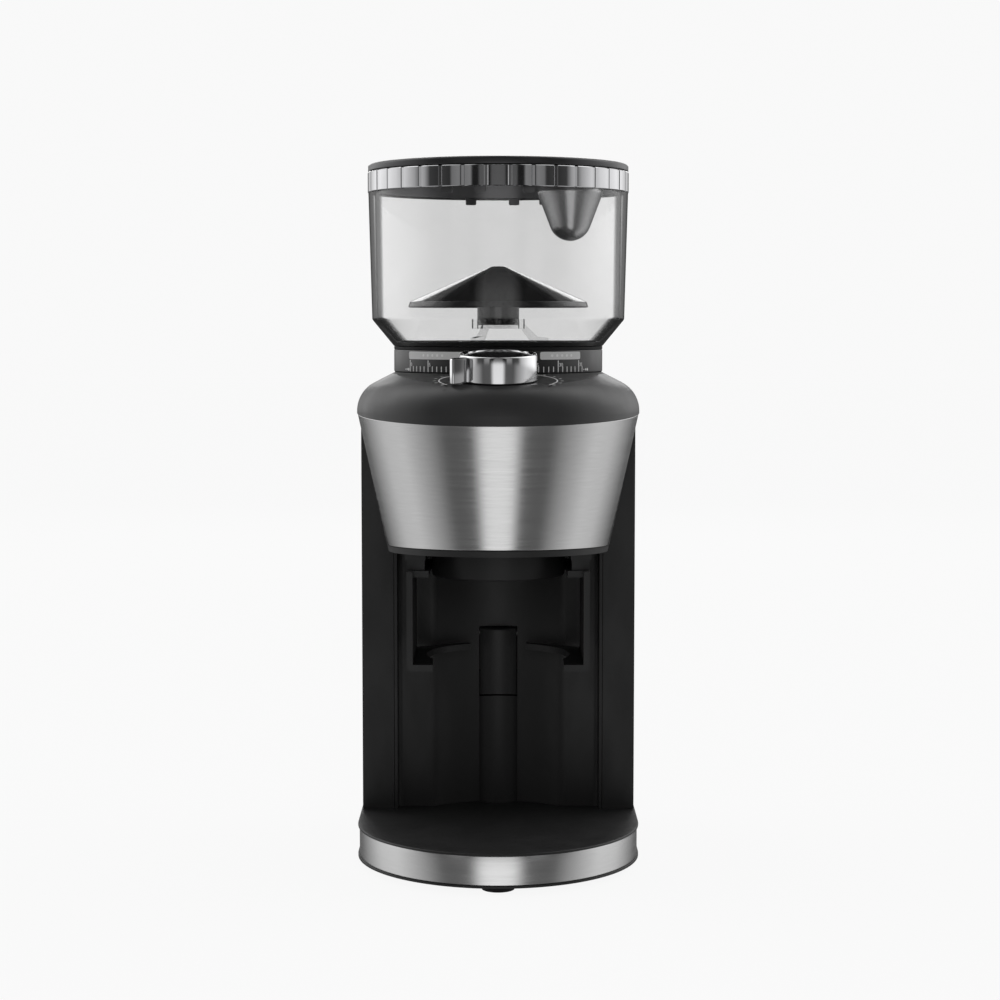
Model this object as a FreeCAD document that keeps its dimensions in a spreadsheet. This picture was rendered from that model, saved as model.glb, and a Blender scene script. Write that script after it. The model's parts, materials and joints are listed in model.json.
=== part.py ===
"""Burr coffee grinder with a portafilter cradle, built as an assembly of separate pieces.

Frame: millimetres, +Z up, front facing -Y, origin on the table under the middle of the outline.
The body is a D in plan: a half-round nose about the axis (0, noseY), straight flanks and a
rounded back. The burrs, the grind collar, the hopper and the lid share the axis (0, grindY).
"""
import FreeCAD, Part
import math
import os
import re

import Sketcher
from fcgear import fcgear, involute

V = FreeCAD.Vector

DIMS = {
    # plan outline of the body
    "bodyRad": 75.0, "noseY": -19.2, "backY": 94.2, "backCorner": 40.0, "wall": 2.5, "lip": 0.8,
    # base
    "trayLow": 3.4, "bandLow": 4.5, "bandTop": 20.0, "deckTop": 21.2, "bandThick": 1.0,
    "footRad": 8.5, "footStem": 4.0, "footStemTop": 4.9, "trayFloor": 6.4,
    "screwRad": 1.5, "screwHead": 3.2, "screwHeadTop": 5.0, "screwTop": 14.0,
    # tower and bay
    "columnY": 7.8, "bayHalf": 57.6, "flangeY": 15.8, "bayRad": 53.0, "bayCentreY": -24.2,
    "linerTop": 170.4,
    "seamZ": 242.6, "seamSlope": 0.054, "gap": 0.3,
    "ribHalf": 12.6, "ribRise": 7.8, "ribFrontY": 22.8, "windowTop": 120.6,
    "heelSlope": 0.221, "returnThick": 1.6,
    "paddleHalf": 10.2, "paddleLow": 83.0, "paddleTop": 119.9, "paddleBackY": 33.8,
    "paddlePinY": 36.0, "paddlePinZ": 116.0, "pinRad": 1.2, "runFit": 0.05,
    "ventPitch": 5.0, "ventHalf": 26.0, "ventLow": 120.0, "ventHigh": 2.2,
    "glandZ": 36.0, "glandRad": 6.0, "cordRad": 3.4,
    # head
    "headRadLow": 59.5, "headLow": 171.7, "headSlope": 0.2186, "chinSlope": 0.0415,
    "chinThick": 3.3, "loftLow": 160.0, "loftTop": 250.0,
    "spoutRad": 35.6, "spoutBore": 33.0, "spoutLow": 155.6, "spoutFlange": 38.0,
    # shoulder
    "shoulderTop": 263.3, "deckSlope": 0.1, "foldY": -38.2, "shoulderRound": 17.0,
    "shoulderWall": 253.8, "shoulderIn": 18.5,
    "neckHole": 48.0, "lipOut": 0.2,
    # cradle
    "armIn": 44.5, "armOut": 47.7, "forkLow": 109.0, "forkTop": 112.4, "forkRad": 38.5,
    "cradleFrontY": -58.2, "cradleBackY": 22.0, "cradleTopLow": 157.6, "cradleTopHigh": 161.0,
    "tabIn": 38.0, "tabLow": 161.0, "tabTop": 166.6, "notchHalf": 15.5,
    # grinding axis
    "grindY": 19.0, "collarRad": 57.2, "collarBore": 40.1, "collarLow": 263.6, "collarTop": 275.7,
    "carrierLow": 236.0, "carrierRad": 35.9, "carrierFlange": 40.0, "carrierFlangeTop": 268.0,
    "burrRad": 27.0, "burrLow": 238.0, "burrTop": 252.0, "burrMouth": 15.0, "burrSkirt": 20.5,
    "coneLow": 234.0, "coneTop": 253.0, "coneRadLow": 19.8, "coneRadTop": 13.6,
    "shaftRad": 4.0, "shaftLow": 180.0, "housingRad": 39.6, "housingBore": 36.3,
    "housingLow": 207.0, "housingFloor": 213.0, "housingTop": 262.0, "bearingRad": 11.0,
    "vaneRad": 34.5, "vaneLow": 215.0, "vaneTop": 232.0, "vaneThick": 2.4,
    # gears: module, tooth counts, and the two other shaft places
    "gearModule": 1.0, "outputTeeth": 48, "idlerSmallTeeth": 16, "idlerBigTeeth": 36,
    "pinionTeeth": 12, "idlerX": 13.378, "idlerY": 48.07, "motorY": 68.0,
    "caseLow": 177.0, "caseFloor": 179.5, "caseTop": 201.0, "coverTop": 204.0,
    "caseHalf": 36.0, "caseFrontY": -9.0, "caseBackY": 84.0, "caseCorner": 10.0,
    "lowGearZ": 181.5, "highGearZ": 190.5, "gearWidth": 7.0, "idlerPinRad": 3.0,
    "motorRad": 23.0, "motorWall": 1.6, "motorLow": 98.0, "motorShaftRad": 2.5,
    # hopper, lid and bean guard
    "hopperLow": 277.3, "hopperFoot": 57.2, "kinkRad": 69.1, "kinkZ": 291.8,
    "rimRad": 70.9, "rimLow": 360.5, "rimTop": 371.4, "hopperWall": 2.5, "throatRad": 23.5,
    "throatLow": 262.5, "rimBandRad": 71.3, "fluteCount": 60,
    "lidRad": 71.0, "lidLow": 371.8, "lidTop": 376.0, "skirtRad": 66.2, "skirtLow": 361.2,
    "wellX": 38.4, "wellY": -11.0, "wellRad": 17.4, "wellTipRad": 11.4, "wellLow": 333.6,
    "guardRad": 49.5, "guardRim": 298.3, "guardApex": 321.3, "hubRad": 11.5, "hubLow": 288.8,
    # dial
    "dialY": -65.2, "dialZ": 260.6, "dialRad": 20.3, "dialHigh": 14.3, "finReach": 29.0,
    "finThick": 3.3, "finAngle": 215.0, "buttonRad": 6.1, "dialShaftRad": 3.0,
}

doc = FreeCAD.newDocument("BurrGrinder")
sheet = doc.addObject("Spreadsheet::Sheet", "Dims")
for row, (alias, size) in enumerate(DIMS.items(), start=1):
    sheet.set("A%d" % row, alias)
    sheet.set("B%d" % row, str(size))
    sheet.setAlias("B%d" % row, alias)
doc.recompute()

NODES = []


# ---- helpers -------------------------------------------------------------------------------

def size(text):
    """Value of an expression over the sheet, such as "bodyRad - wall"."""
    return float(sheet.evalExpression(str(text)))


def bound(text):
    """The same expression as other objects read it, with the sheet's name before each alias."""
    return re.sub(r"\b([A-Za-z]\w*)\b(?!\s*\()", r"Dims.\1", str(text))


def node(thing, label):
    """Name a finished sub-part and list it for export."""
    thing.Label = label
    NODES.append(thing)
    return thing


def place(thing, x="0", y="0", z="0"):
    for axis, text in zip("xyz", (x, y, z)):
        thing.setExpression("Placement.Base." + axis, bound(text))


def origin_plane(body, role):
    return [item for item in body.Origin.OriginFeatures if item.Role == role][0]


def new_body(name):
    return doc.addObject("PartDesign::Body", name)


def new_sketch(body, plane="XY_Plane", offset="0"):
    """Empty sketch on one of the body's own planes, moved along that plane's normal."""
    sketch = body.newObject("Sketcher::SketchObject", body.Name + "_sketch")
    sketch.AttachmentSupport = [(origin_plane(body, plane), "")]
    sketch.MapMode = "FlatFace"
    sketch.setExpression("AttachmentOffset.Base.z", bound(offset))
    return sketch


def pin_point(sketch, index, position, x, y):
    """Fix one point of the sketch to two sheet expressions."""
    for kind, text in (("DistanceX", x), ("DistanceY", y)):
        number = sketch.addConstraint(
            Sketcher.Constraint(kind, -1, 1, index, position, size(text)))
        sketch.setExpression("Constraints[%d]" % number, bound(text))


def add_circle(sketch, x, y, radius):
    circle = Part.Circle(V(size(x), size(y), 0), V(0, 0, 1), size(radius))
    index = sketch.addGeometry(circle)
    number = sketch.addConstraint(Sketcher.Constraint("Radius", index, size(radius)))
    sketch.setExpression("Constraints[%d]" % number, bound(radius))
    pin_point(sketch, index, 3, x, y)


def arc_between(start, end, radius, turn):
    """Minor arc from start to end; turn is +1 when it runs anticlockwise, -1 when clockwise."""
    half = (end - start) * 0.5
    rise = math.sqrt(max(radius ** 2 - half.Length ** 2, 0))
    side = V(-half.y, half.x, 0).normalize() * (rise * turn)
    centre = start + half + side
    first, last = (start, end) if turn > 0 else (end, start)
    angles = [math.atan2(p.y - centre.y, p.x - centre.x) for p in (first, last)]
    return Part.ArcOfCircle(Part.Circle(centre, V(0, 0, 1), radius), angles[0], angles[1])


def add_loop(sketch, points):
    """Closed outline. (x, y) starts a line; (x, y, radius, turn) starts an arc to the next point."""
    corners = [V(size(p[0]), size(p[1]), 0) for p in points]
    starts = []
    ends = []
    for number, point in enumerate(points):
        start, end = corners[number], corners[(number + 1) % len(points)]
        if len(point) == 2:
            index = sketch.addGeometry(Part.LineSegment(start, end))
            starts.append((index, 1))
            ends.append((index, 2))
            continue
        radius, turn = point[2], point[3]
        index = sketch.addGeometry(arc_between(start, end, size(radius), turn))
        constraint = sketch.addConstraint(Sketcher.Constraint("Radius", index, size(radius)))
        sketch.setExpression("Constraints[%d]" % constraint, bound(radius))
        starts.append((index, 1 if turn > 0 else 2))
        ends.append((index, 2 if turn > 0 else 1))
    for number, point in enumerate(points):
        index, position = starts[number]
        before, after = ends[number - 1]
        sketch.addConstraint(Sketcher.Constraint("Coincident", before, after, index, position))
        pin_point(sketch, index, position, point[0], point[1])
    return sketch


def add_box(sketch, left, low, right, high):
    return add_loop(sketch, [(left, low), (right, low), (right, high), (left, high)])


def pad(body, sketch, length, both_ways=False):
    feature = body.newObject("PartDesign::Pad", body.Name + "_pad")
    feature.Profile = sketch
    feature.setExpression("Length", bound(length))
    if both_ways:
        feature.Midplane = True
    return feature


def pocket(body, sketch, length, flip=False, both_ways=False):
    """Cut away from the sketch's normal, or along it when flipped; an empty cut is an error."""
    doc.recompute()
    before = body.Shape.Volume
    feature = body.newObject("PartDesign::Pocket", body.Name + "_pocket")
    feature.Profile = sketch
    feature.Type = 0
    feature.setExpression("Length", bound(length))
    feature.Reversed = flip
    if both_ways:
        feature.Midplane = True
    doc.recompute()
    if body.Shape.Volume > before - 1e-3:
        raise RuntimeError("pocket cut nothing in " + body.Name)
    return feature


def polar(body, feature, count):
    """Repeat a feature round the body's own Z axis."""
    pattern = body.newObject("PartDesign::PolarPattern", body.Name + "_polar")
    pattern.Originals = [feature]
    pattern.Axis = ([i for i in body.Origin.OriginFeatures if i.Role == "Z_Axis"][0], [""])
    pattern.Angle = 360
    pattern.Occurrences = int(size(count))
    body.Tip = pattern
    return pattern


def fillet(body, radius, wanted):
    """Round the edges whose middle point passes the test."""
    doc.recompute()
    tip = body.Tip
    names = []
    for number, edge in enumerate(tip.Shape.Edges, start=1):
        if wanted(edge.valueAt((edge.FirstParameter + edge.LastParameter) / 2), edge):
            names.append("Edge%d" % number)
    feature = body.newObject("PartDesign::Fillet", body.Name + "_fillet")
    feature.Base = (tip, names)
    feature.setExpression("Radius", bound(radius))
    return feature


def turned(name, profile, x="0", y="grindY", z="0"):
    """Round piece: a closed (radius, height) profile turned about its own vertical axis."""
    body = new_body(name)
    sketch = new_sketch(body, "XZ_Plane")
    add_loop(sketch, profile)
    turn = body.newObject("PartDesign::Revolution", name + "_turn")
    turn.Profile = sketch
    turn.ReferenceAxis = (sketch, ["V_Axis"])
    turn.Angle = 360
    place(body, x, y, z)
    return body


def ring(name, inner, outer, low, high, x="0", y="grindY", z="0"):
    return turned(name, [(inner, low), (outer, low), (outer, high), (inner, high)], x, y, z)


def block(name, left, front, low, right, back, high):
    """Part box between two corners given as expressions."""
    box = doc.addObject("Part::Box", name)
    for prop, text in (("Length", "(%s) - (%s)" % (right, left)),
                       ("Width", "(%s) - (%s)" % (back, front)),
                       ("Height", "(%s) - (%s)" % (high, low))):
        box.setExpression(prop, bound(text))
    place(box, left, front, low)
    return box


def cylinder(name, radius, low, high, x="0", y="0"):
    round_bar = doc.addObject("Part::Cylinder", name)
    round_bar.setExpression("Radius", bound(radius))
    round_bar.setExpression("Height", bound("(%s) - (%s)" % (high, low)))
    place(round_bar, x, y, low)
    return round_bar


def cut(name, base, tool):
    result = doc.addObject("Part::Cut", name)
    result.Base = base
    result.Tool = tool
    return result


def fuse(name, things):
    result = doc.addObject("Part::MultiFuse", name)
    result.Shapes = things
    return result


def group(name, things):
    """Separate identical solids kept together as one sub-part."""
    result = doc.addObject("Part::Compound", name)
    result.Links = things
    return result


def d_outline(sketch, inset):
    """The body's D outline, moved inwards by inset (outwards where it is negative)."""
    rad = "(bodyRad - (%s))" % inset
    back = "(backY - (%s))" % inset
    corner = "(backCorner - (%s))" % inset
    flank = "%s - %s" % (rad, corner)
    return add_loop(sketch, [
        (rad, "noseY"),
        (rad, back + " - " + corner, corner, 1),
        (flank, back),
        ("-(%s)" % flank, back, corner, 1),
        ("-" + rad, back + " - " + corner),
        ("-" + rad, "noseY", rad, 1),
        ("0", "noseY - " + rad, rad, 1),
    ])


def column_outline(sketch, inset):
    """The D outline behind the bay's front plane only."""
    rad = "(bodyRad - (%s))" % inset
    back = "(backY - (%s))" % inset
    corner = "(backCorner - (%s))" % inset
    flank = "%s - %s" % (rad, corner)
    front = "columnY + (%s)" % inset
    return add_loop(sketch, [
        (rad, front),
        (rad, back + " - " + corner, corner, 1),
        (flank, back),
        ("-(%s)" % flank, back, corner, 1),
        ("-" + rad, back + " - " + corner),
        ("-" + rad, front),
    ])


def head_outline(sketch, level, inset, back):
    """The head's outline at a height: a half-round nose whose radius grows upwards."""
    rad = "(headRadLow + (%s - headLow)*headSlope - (%s))" % (level, inset)
    return add_loop(sketch, [
        (rad, "noseY"),
        (rad, back),
        ("-" + rad, back),
        ("-" + rad, "noseY", rad, 1),
        ("0", "noseY - " + rad, rad, 1),
    ])


def head_loft(body, kind, inset, back):
    """Tapered solid between two head outlines, added or taken away."""
    sketches = []
    for level in ("loftLow", "loftTop"):
        sketch = new_sketch(body, "XY_Plane", level)
        head_outline(sketch, level, inset, back)
        sketches.append(sketch)
    feature = body.newObject("PartDesign::" + kind, body.Name + "_loft")
    feature.Profile = sketches[0]
    feature.Sections = [sketches[1]]
    feature.Ruled = True
    return feature


def trim_side(body, points):
    """Cut a side-view (y, z) shape right across the body."""
    sketch = new_sketch(body, "YZ_Plane")
    add_loop(sketch, points)
    pocket(body, sketch, "bodyRad*3", both_ways=True)


def trim_above(body, level, slope):
    """Take away all above a plane that passes z = level at the nose axis."""
    trim_side(body, [("-120", "%s + %s*(-120 - noseY)" % (level, slope)),
                     ("120", "%s + %s*(120 - noseY)" % (level, slope)),
                     ("120", "300"), ("-120", "300")])


def trim_seam(body):
    """Take away all above the seam under the top cover: it dips in front of the nose axis."""
    trim_side(body, [("-120", "seamZ - gap + seamSlope*(-120 - noseY)"),
                     ("noseY", "seamZ - gap"), ("120", "seamZ - gap"),
                     ("120", "300"), ("-120", "300")])


def trim_below(body, level, slope):
    trim_side(body, [("-120", "%s + %s*(-120 - noseY)" % (level, slope)),
                     ("-120", "100"), ("120", "100"),
                     ("120", "%s + %s*(120 - noseY)" % (level, slope))])


# ---- base ----------------------------------------------------------------------------------

FOOT_PLACES = [(0, -81.2), (52, -38), (-52, -38), (44, 66), (-44, 66)]
SCREW_PLACES = [(34, -52), (-34, -52), (56, 30), (-56, 30)]


def base_tray():
    """Moulded under-tray with an outer lip, counterbores for the screws and foot sockets."""
    body = new_body("base_tray")
    pad(body, d_outline(new_sketch(body, offset="trayLow"), "-lip"), "bandLow - trayLow")
    pad(body, d_outline(new_sketch(body, offset="bandLow"), "bandThick + 0.1"),
        "bandTop - 0.1 - bandLow")
    pocket(body, d_outline(new_sketch(body, offset="bandTop"), "bandThick + 0.1 + wall"),
           "bandTop - trayFloor")
    sockets = new_sketch(body, offset="trayLow")
    for x, y in FOOT_PLACES:
        add_circle(sockets, x, y, "footStem")
    pocket(body, sockets, "footStemTop - trayLow", flip=True)
    heads = new_sketch(body, offset="trayLow")
    shanks = new_sketch(body, offset="trayLow")
    for x, y in SCREW_PLACES:
        add_circle(heads, x, y, "screwHead + 0.2")
        add_circle(shanks, x, y, "screwRad + 0.1")
    pocket(body, heads, "screwHeadTop - trayLow", flip=True)
    pocket(body, shanks, "10", flip=True)
    return node(body, "base_tray")


def base_band():
    """Thin steel band wrapped round the base."""
    body = new_body("base_band")
    sketch = new_sketch(body, offset="bandLow")
    d_outline(sketch, "0")
    d_outline(sketch, "bandThick")
    pad(body, sketch, "bandTop - bandLow")
    return node(body, "base_band")


def base_deck():
    """Top plate of the base, which is the floor of the bay, with screw bosses below it."""
    body = new_body("base_deck")
    pad(body, d_outline(new_sketch(body, offset="bandTop"), "-lip"), "deckTop - bandTop")
    pad(body, d_outline(new_sketch(body, offset="bandTop - 2.3"), "bandThick + wall + 0.2"), "2.3")
    bosses = new_sketch(body, offset="trayFloor + 0.1")
    holes = new_sketch(body, offset="trayFloor")
    for x, y in SCREW_PLACES:
        add_circle(bosses, x, y, "4.2")
        add_circle(holes, x, y, "screwRad")
    pad(body, bosses, "bandTop - 2.3 - trayFloor - 0.1")
    pocket(body, holes, "screwTop + 0.5 - trayFloor", flip=True)
    fillet(body, "0.6", lambda p, edge: abs(p.z - size("deckTop")) < 1e-3)
    return node(body, "base_deck")


def rubber_feet():
    feet = []
    for number, (x, y) in enumerate(FOOT_PLACES):
        disc = cylinder("foot_disc_%d" % number, "footRad", "0", "trayLow", x, y)
        stem = cylinder("foot_stem_%d" % number, "footStem", "trayLow", "footStemTop", x, y)
        feet.append(fuse("foot_%d" % number, [disc, stem]))
    return node(group("rubber_feet", feet), "rubber_feet")


def base_screws():
    screws = []
    for number, (x, y) in enumerate(SCREW_PLACES):
        head = cylinder("base_head_%d" % number, "screwHead", "trayLow + 0.1", "screwHeadTop", x, y)
        shank = cylinder("base_shank_%d" % number, "screwRad", "screwHeadTop", "screwTop", x, y)
        screws.append(fuse("base_screw_%d" % number, [head, shank]))
    return node(group("base_screws", screws), "base_screws")


# ---- tower ---------------------------------------------------------------------------------

def tower_shell():
    """The casing behind the bay: two flat columns in front, a rounded back, vents and gland."""
    body = new_body("tower_shell")
    height = "seamZ - gap - deckTop"
    pad(body, column_outline(new_sketch(body, offset="deckTop"), "0"), height)
    pocket(body, column_outline(new_sketch(body, offset="deckTop"), "wall"), height, flip=True)
    opening = new_sketch(body, offset="deckTop")
    add_box(opening, "-bayHalf", "columnY - 1", "bayHalf", "columnY + wall + 1")
    pocket(body, opening, height, flip=True)
    vents = new_sketch(body, "XZ_Plane", "-(backY - wall - 2)")
    for step in range(9):
        low = "ventLow + %d*ventPitch" % step
        add_box(vents, "-ventHalf", low, "ventHalf", low + " + ventHigh")
    pocket(body, vents, "wall + 4")
    gland = new_sketch(body, "XZ_Plane", "-(backY - wall - 2)")
    add_circle(gland, "0", "glandZ", "glandRad")
    pocket(body, gland, "wall + 4")
    return node(body, "tower_shell")


# radius of the rib's front, which the paddle carries on upwards
RIB_RAD = "((ribHalf^2 + ribRise^2)/(2*ribRise))"


def recess_wall():
    """Back wall of the bay: side returns, flat flanges and a concave middle.

    A round rib runs up the middle to the window that the paddle fills."""
    body = new_body("recess_wall")
    edge = "(bayHalf - gap)"
    inner = "(bayHalf - gap - returnThick)"
    side = "sqrt(bayRad^2 - (flangeY - bayCentreY)^2)"
    outer_rad = "(bayRad + wall)"
    back = "flangeY + wall"
    outer_side = "sqrt((bayRad + wall)^2 - (flangeY + wall - bayCentreY)^2)"
    behind = [
        (edge, "columnY"), (edge, back), (outer_side, back, outer_rad, 1),
        ("0", "bayCentreY + " + outer_rad, outer_rad, 1), ("-" + outer_side, back),
        ("-" + edge, back), ("-" + edge, "columnY"),
    ]
    sketch = new_sketch(body, offset="deckTop")
    add_loop(sketch, behind + [
        ("-" + inner, "columnY"), ("-" + inner, "flangeY"),
        ("-" + side, "flangeY", "bayRad", -1),
        ("0", "bayCentreY + bayRad", "bayRad", -1),
        (side, "flangeY"), (inner, "flangeY"), (inner, "columnY"),
    ])
    pad(body, sketch, "linerTop - deckTop")
    ceiling = new_sketch(body, offset="linerTop - wall")
    add_loop(ceiling, behind)
    pad(body, ceiling, "wall")
    spout = new_sketch(body, offset="linerTop + 1")
    add_circle(spout, "0", "noseY", "spoutRad + 1")
    pocket(body, spout, "wall + 3")
    rib = new_sketch(body, offset="deckTop")
    rib_back = "ribFrontY + ribRise"
    add_loop(rib, [
        ("ribHalf", rib_back),
        ("-ribHalf", rib_back, RIB_RAD, 1),
        ("0", "ribFrontY", RIB_RAD, 1),
    ])
    pad(body, rib, "paddleLow - 0.5 - deckTop")
    lugs = new_sketch(body, offset="paddlePinZ - 3")
    for left, right in (("paddleHalf + 0.9", "paddleHalf + 3.9"),
                        ("-paddleHalf - 3.9", "-paddleHalf - 0.9")):
        add_box(lugs, left, "bayCentreY + bayRad + 1", right, "paddlePinY + 3")
    pad(body, lugs, "6.4")
    heel = new_sketch(body, "YZ_Plane")
    foot = "paddleLow - 0.9"
    add_loop(heel, [
        ("ribFrontY - 1", foot + " + heelSlope"),
        ("ribFrontY + 14", foot + " - heelSlope*14"),
        ("ribFrontY + 14", "windowTop"), ("ribFrontY - 1", "windowTop"),
    ])
    pocket(body, heel, "(paddleHalf + 0.45)*2", both_ways=True)
    pin_hole = new_sketch(body, "YZ_Plane")
    add_circle(pin_hole, "paddlePinY", "paddlePinZ", "pinRad")
    pocket(body, pin_hole, "40", both_ways=True)
    bend = size(side)
    fillet(body, "8", lambda p, edge: abs(abs(p.x) - bend) < 0.01
           and abs(p.y - size("flangeY")) < 0.01 and p.z > size("deckTop") + 20)
    fillet(body, "3", lambda p, edge: abs(abs(p.x) - size(inner)) < 0.01
           and abs(p.y - size("flangeY")) < 0.01 and p.z > size("deckTop") + 20)
    return node(body, "recess_wall")


def start_paddle():
    """Tongue that the portafilter pushes back; it hangs on a cross pin and carries on the rib."""
    body = new_body("start_paddle")
    face = new_sketch(body, offset="paddleLow - 4")
    side = "ribFrontY + %s - sqrt(%s^2 - paddleHalf^2)" % (RIB_RAD, RIB_RAD)
    add_loop(face, [
        ("paddleHalf", "paddleBackY"), ("-paddleHalf", "paddleBackY"),
        ("-paddleHalf", side, RIB_RAD, 1), ("0", "ribFrontY", RIB_RAD, 1), ("paddleHalf", side),
    ])
    pad(body, face, "paddleTop - paddleLow + 4")
    heel = new_sketch(body, "YZ_Plane")
    add_loop(heel, [
        ("ribFrontY - 1", "paddleLow + heelSlope"), ("ribFrontY - 1", "paddleLow - 10"),
        ("ribFrontY + 14", "paddleLow - 10"), ("ribFrontY + 14", "paddleLow - heelSlope*14"),
    ])
    pocket(body, heel, "paddleHalf*3", both_ways=True)
    ear = new_sketch(body, offset="paddlePinZ - 3")
    add_box(ear, "-6", "paddleBackY - 1", "6", "paddlePinY + 2.6")
    pad(body, ear, "6")
    pin_hole = new_sketch(body, "YZ_Plane")
    add_circle(pin_hole, "paddlePinY", "paddlePinZ", "pinRad + runFit")
    pocket(body, pin_hole, "40", both_ways=True)
    top = size("paddleTop")
    fillet(body, "1.2", lambda p, edge: abs(p.z - top) < 0.01 and p.y < size("paddleBackY") - 5)
    return node(body, "start_paddle")


def across(thing, y, z):
    """Lay a piece that was made along Z down along X, through the point (y, z)."""
    thing.Placement = FreeCAD.Placement(V(0, 0, 0), FreeCAD.Rotation(V(0, 1, 0), 90))
    place(thing, "0", y, z)
    return thing


def paddle_pin():
    reach = "(paddleHalf + 3.9)"
    pin = ring("paddle_pin", "0", "pinRad", "-" + reach, reach)
    return node(across(pin, "paddlePinY", "paddlePinZ"), "paddle_pin")


def paddle_spring():
    """Torsion spring on the pin, drawn as its wound sleeve."""
    spring = ring("paddle_spring", "pinRad + 0.3", "pinRad + 0.8", "6.3", "paddleHalf + 0.7")
    return node(across(spring, "paddlePinY", "paddlePinZ"), "paddle_spring")


def paddle_switch():
    box = block("paddle_switch", "-6", "36.6", "90", "6", "43", "100")
    return node(box, "paddle_switch")


def along_y(thing, z):
    """Turn a piece that was made along Z so that it points to the back."""
    thing.Placement = FreeCAD.Placement(V(0, 0, 0), FreeCAD.Rotation(V(1, 0, 0), -90))
    place(thing, "0", "0", z)
    return thing


def cord_gland():
    """Bush in the back wall, flush outside, with a collar inside."""
    gland = turned("cord_gland", [
        ("cordRad", "backY - wall - 4"), ("glandRad + 2.5", "backY - wall - 4"),
        ("glandRad + 2.5", "backY - wall"), ("glandRad", "backY - wall"),
        ("glandRad", "backY"), ("cordRad", "backY"),
    ])
    return node(along_y(gland, "glandZ"), "cord_gland")


# ---- head ----------------------------------------------------------------------------------

def head_band():
    """Brushed steel panel: a thin tapered shell round the nose."""
    body = new_body("head_band")
    head_loft(body, "AdditiveLoft", "0", "columnY - gap")
    head_loft(body, "SubtractiveLoft", "bandThick", "columnY + 5")
    trim_seam(body)
    trim_below(body, "headLow", "-chinSlope")
    return node(body, "head_band")


def head_shell():
    """Moulded carrier behind the steel panel."""
    body = new_body("head_shell")
    head_loft(body, "AdditiveLoft", "bandThick + 0.05", "columnY - gap")
    head_loft(body, "SubtractiveLoft", "bandThick + wall", "columnY + 5")
    trim_seam(body)
    trim_below(body, "headLow + 0.1", "-chinSlope")
    return node(body, "head_shell")


def chin_plate():
    """Under-cover of the head, with the hole for the spout and two pads for the cradle."""
    body = new_body("chin_plate")
    head_loft(body, "AdditiveLoft", "0.15", "columnY - gap")
    trim_above(body, "headLow - 0.05", "-chinSlope")
    trim_below(body, "headLow - chinThick", "-chinSlope")
    tabs = new_sketch(body, offset="tabTop")
    add_box(tabs, "tabIn", "-52", "armOut + 1", "-4")
    add_box(tabs, "-armOut - 1", "-52", "-tabIn", "-4")
    pad(body, tabs, "4")
    spout = new_sketch(body, offset="100")
    add_circle(spout, "0", "noseY", "spoutRad + 0.1")
    pocket(body, spout, "100", flip=True)
    return node(body, "chin_plate")


def spout_collar():
    """Round spout that hangs under the head, flanged on the inside."""
    profile = [
        ("spoutBore", "spoutLow"), ("spoutRad - 0.8", "spoutLow"), ("spoutRad", "spoutLow + 0.8"),
        ("spoutRad", "headLow + 2.6"), ("spoutFlange", "headLow + 2.6"),
        ("spoutFlange", "headLow + 4.6"), ("spoutBore", "headLow + 4.6"),
    ]
    return node(turned("spout_collar", profile, y="noseY"), "spout_collar")


def cradle():
    """Portafilter fork: top plate round the spout, two side arms and two curved ledges."""
    body = new_body("portafilter_cradle")
    fork = new_sketch(body, offset="forkLow")
    mouth = "sqrt(forkRad^2 - 17^2)"
    notch_y = "noseY + sqrt(forkRad^2 - notchHalf^2)"
    for sign, turn in (("", -1), ("-", 1)):
        inner = [("%snotchHalf" % sign, notch_y, "forkRad", turn),
                 ("%s%s" % (sign, mouth), "noseY - 17"),
                 ("%s%s" % (sign, "34.2"), "cradleFrontY")]
        outer = [("%sarmOut" % sign, "cradleFrontY"), ("%sarmOut" % sign, "4"),
                 ("%snotchHalf" % sign, "cradleBackY")]
        add_loop(fork, inner + outer)
    pad(body, fork, "forkTop - forkLow")
    arms = new_sketch(body, offset="forkLow")
    add_box(arms, "armIn", "cradleFrontY", "armOut", "0")
    add_box(arms, "-armOut", "cradleFrontY", "-armIn", "0")
    pad(body, arms, "tabLow - forkLow")
    top = new_sketch(body, offset="cradleTopLow")
    slot = "(spoutRad + 0.7)"
    add_loop(top, [
        ("armOut", "-52"), ("armOut", "-4"), ("24", "cradleBackY"), ("-24", "cradleBackY"),
        ("-armOut", "-4"), ("-armOut", "-52"), ("-" + slot, "-52"),
        ("-" + slot, "noseY", slot, -1), ("0", "noseY + " + slot, slot, -1),
        (slot, "noseY"), (slot, "-52"),
    ])
    pad(body, top, "cradleTopHigh - cradleTopLow")
    tabs = new_sketch(body, offset="cradleTopHigh - 0.5")
    add_box(tabs, "tabIn + 0.5", "-50", "armOut", "-6")
    add_box(tabs, "-armOut", "-50", "-tabIn - 0.5", "-6")
    pad(body, tabs, "tabTop - cradleTopHigh + 0.5")
    fillet(body, "2.6", lambda p, edge: abs(abs(p.x) - size("armOut")) < 0.01
           and abs(p.z - size("forkLow")) < 0.01 and abs(p.y + 29) < 2)
    return node(body, "portafilter_cradle")


# ---- shoulder ------------------------------------------------------------------------------

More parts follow.
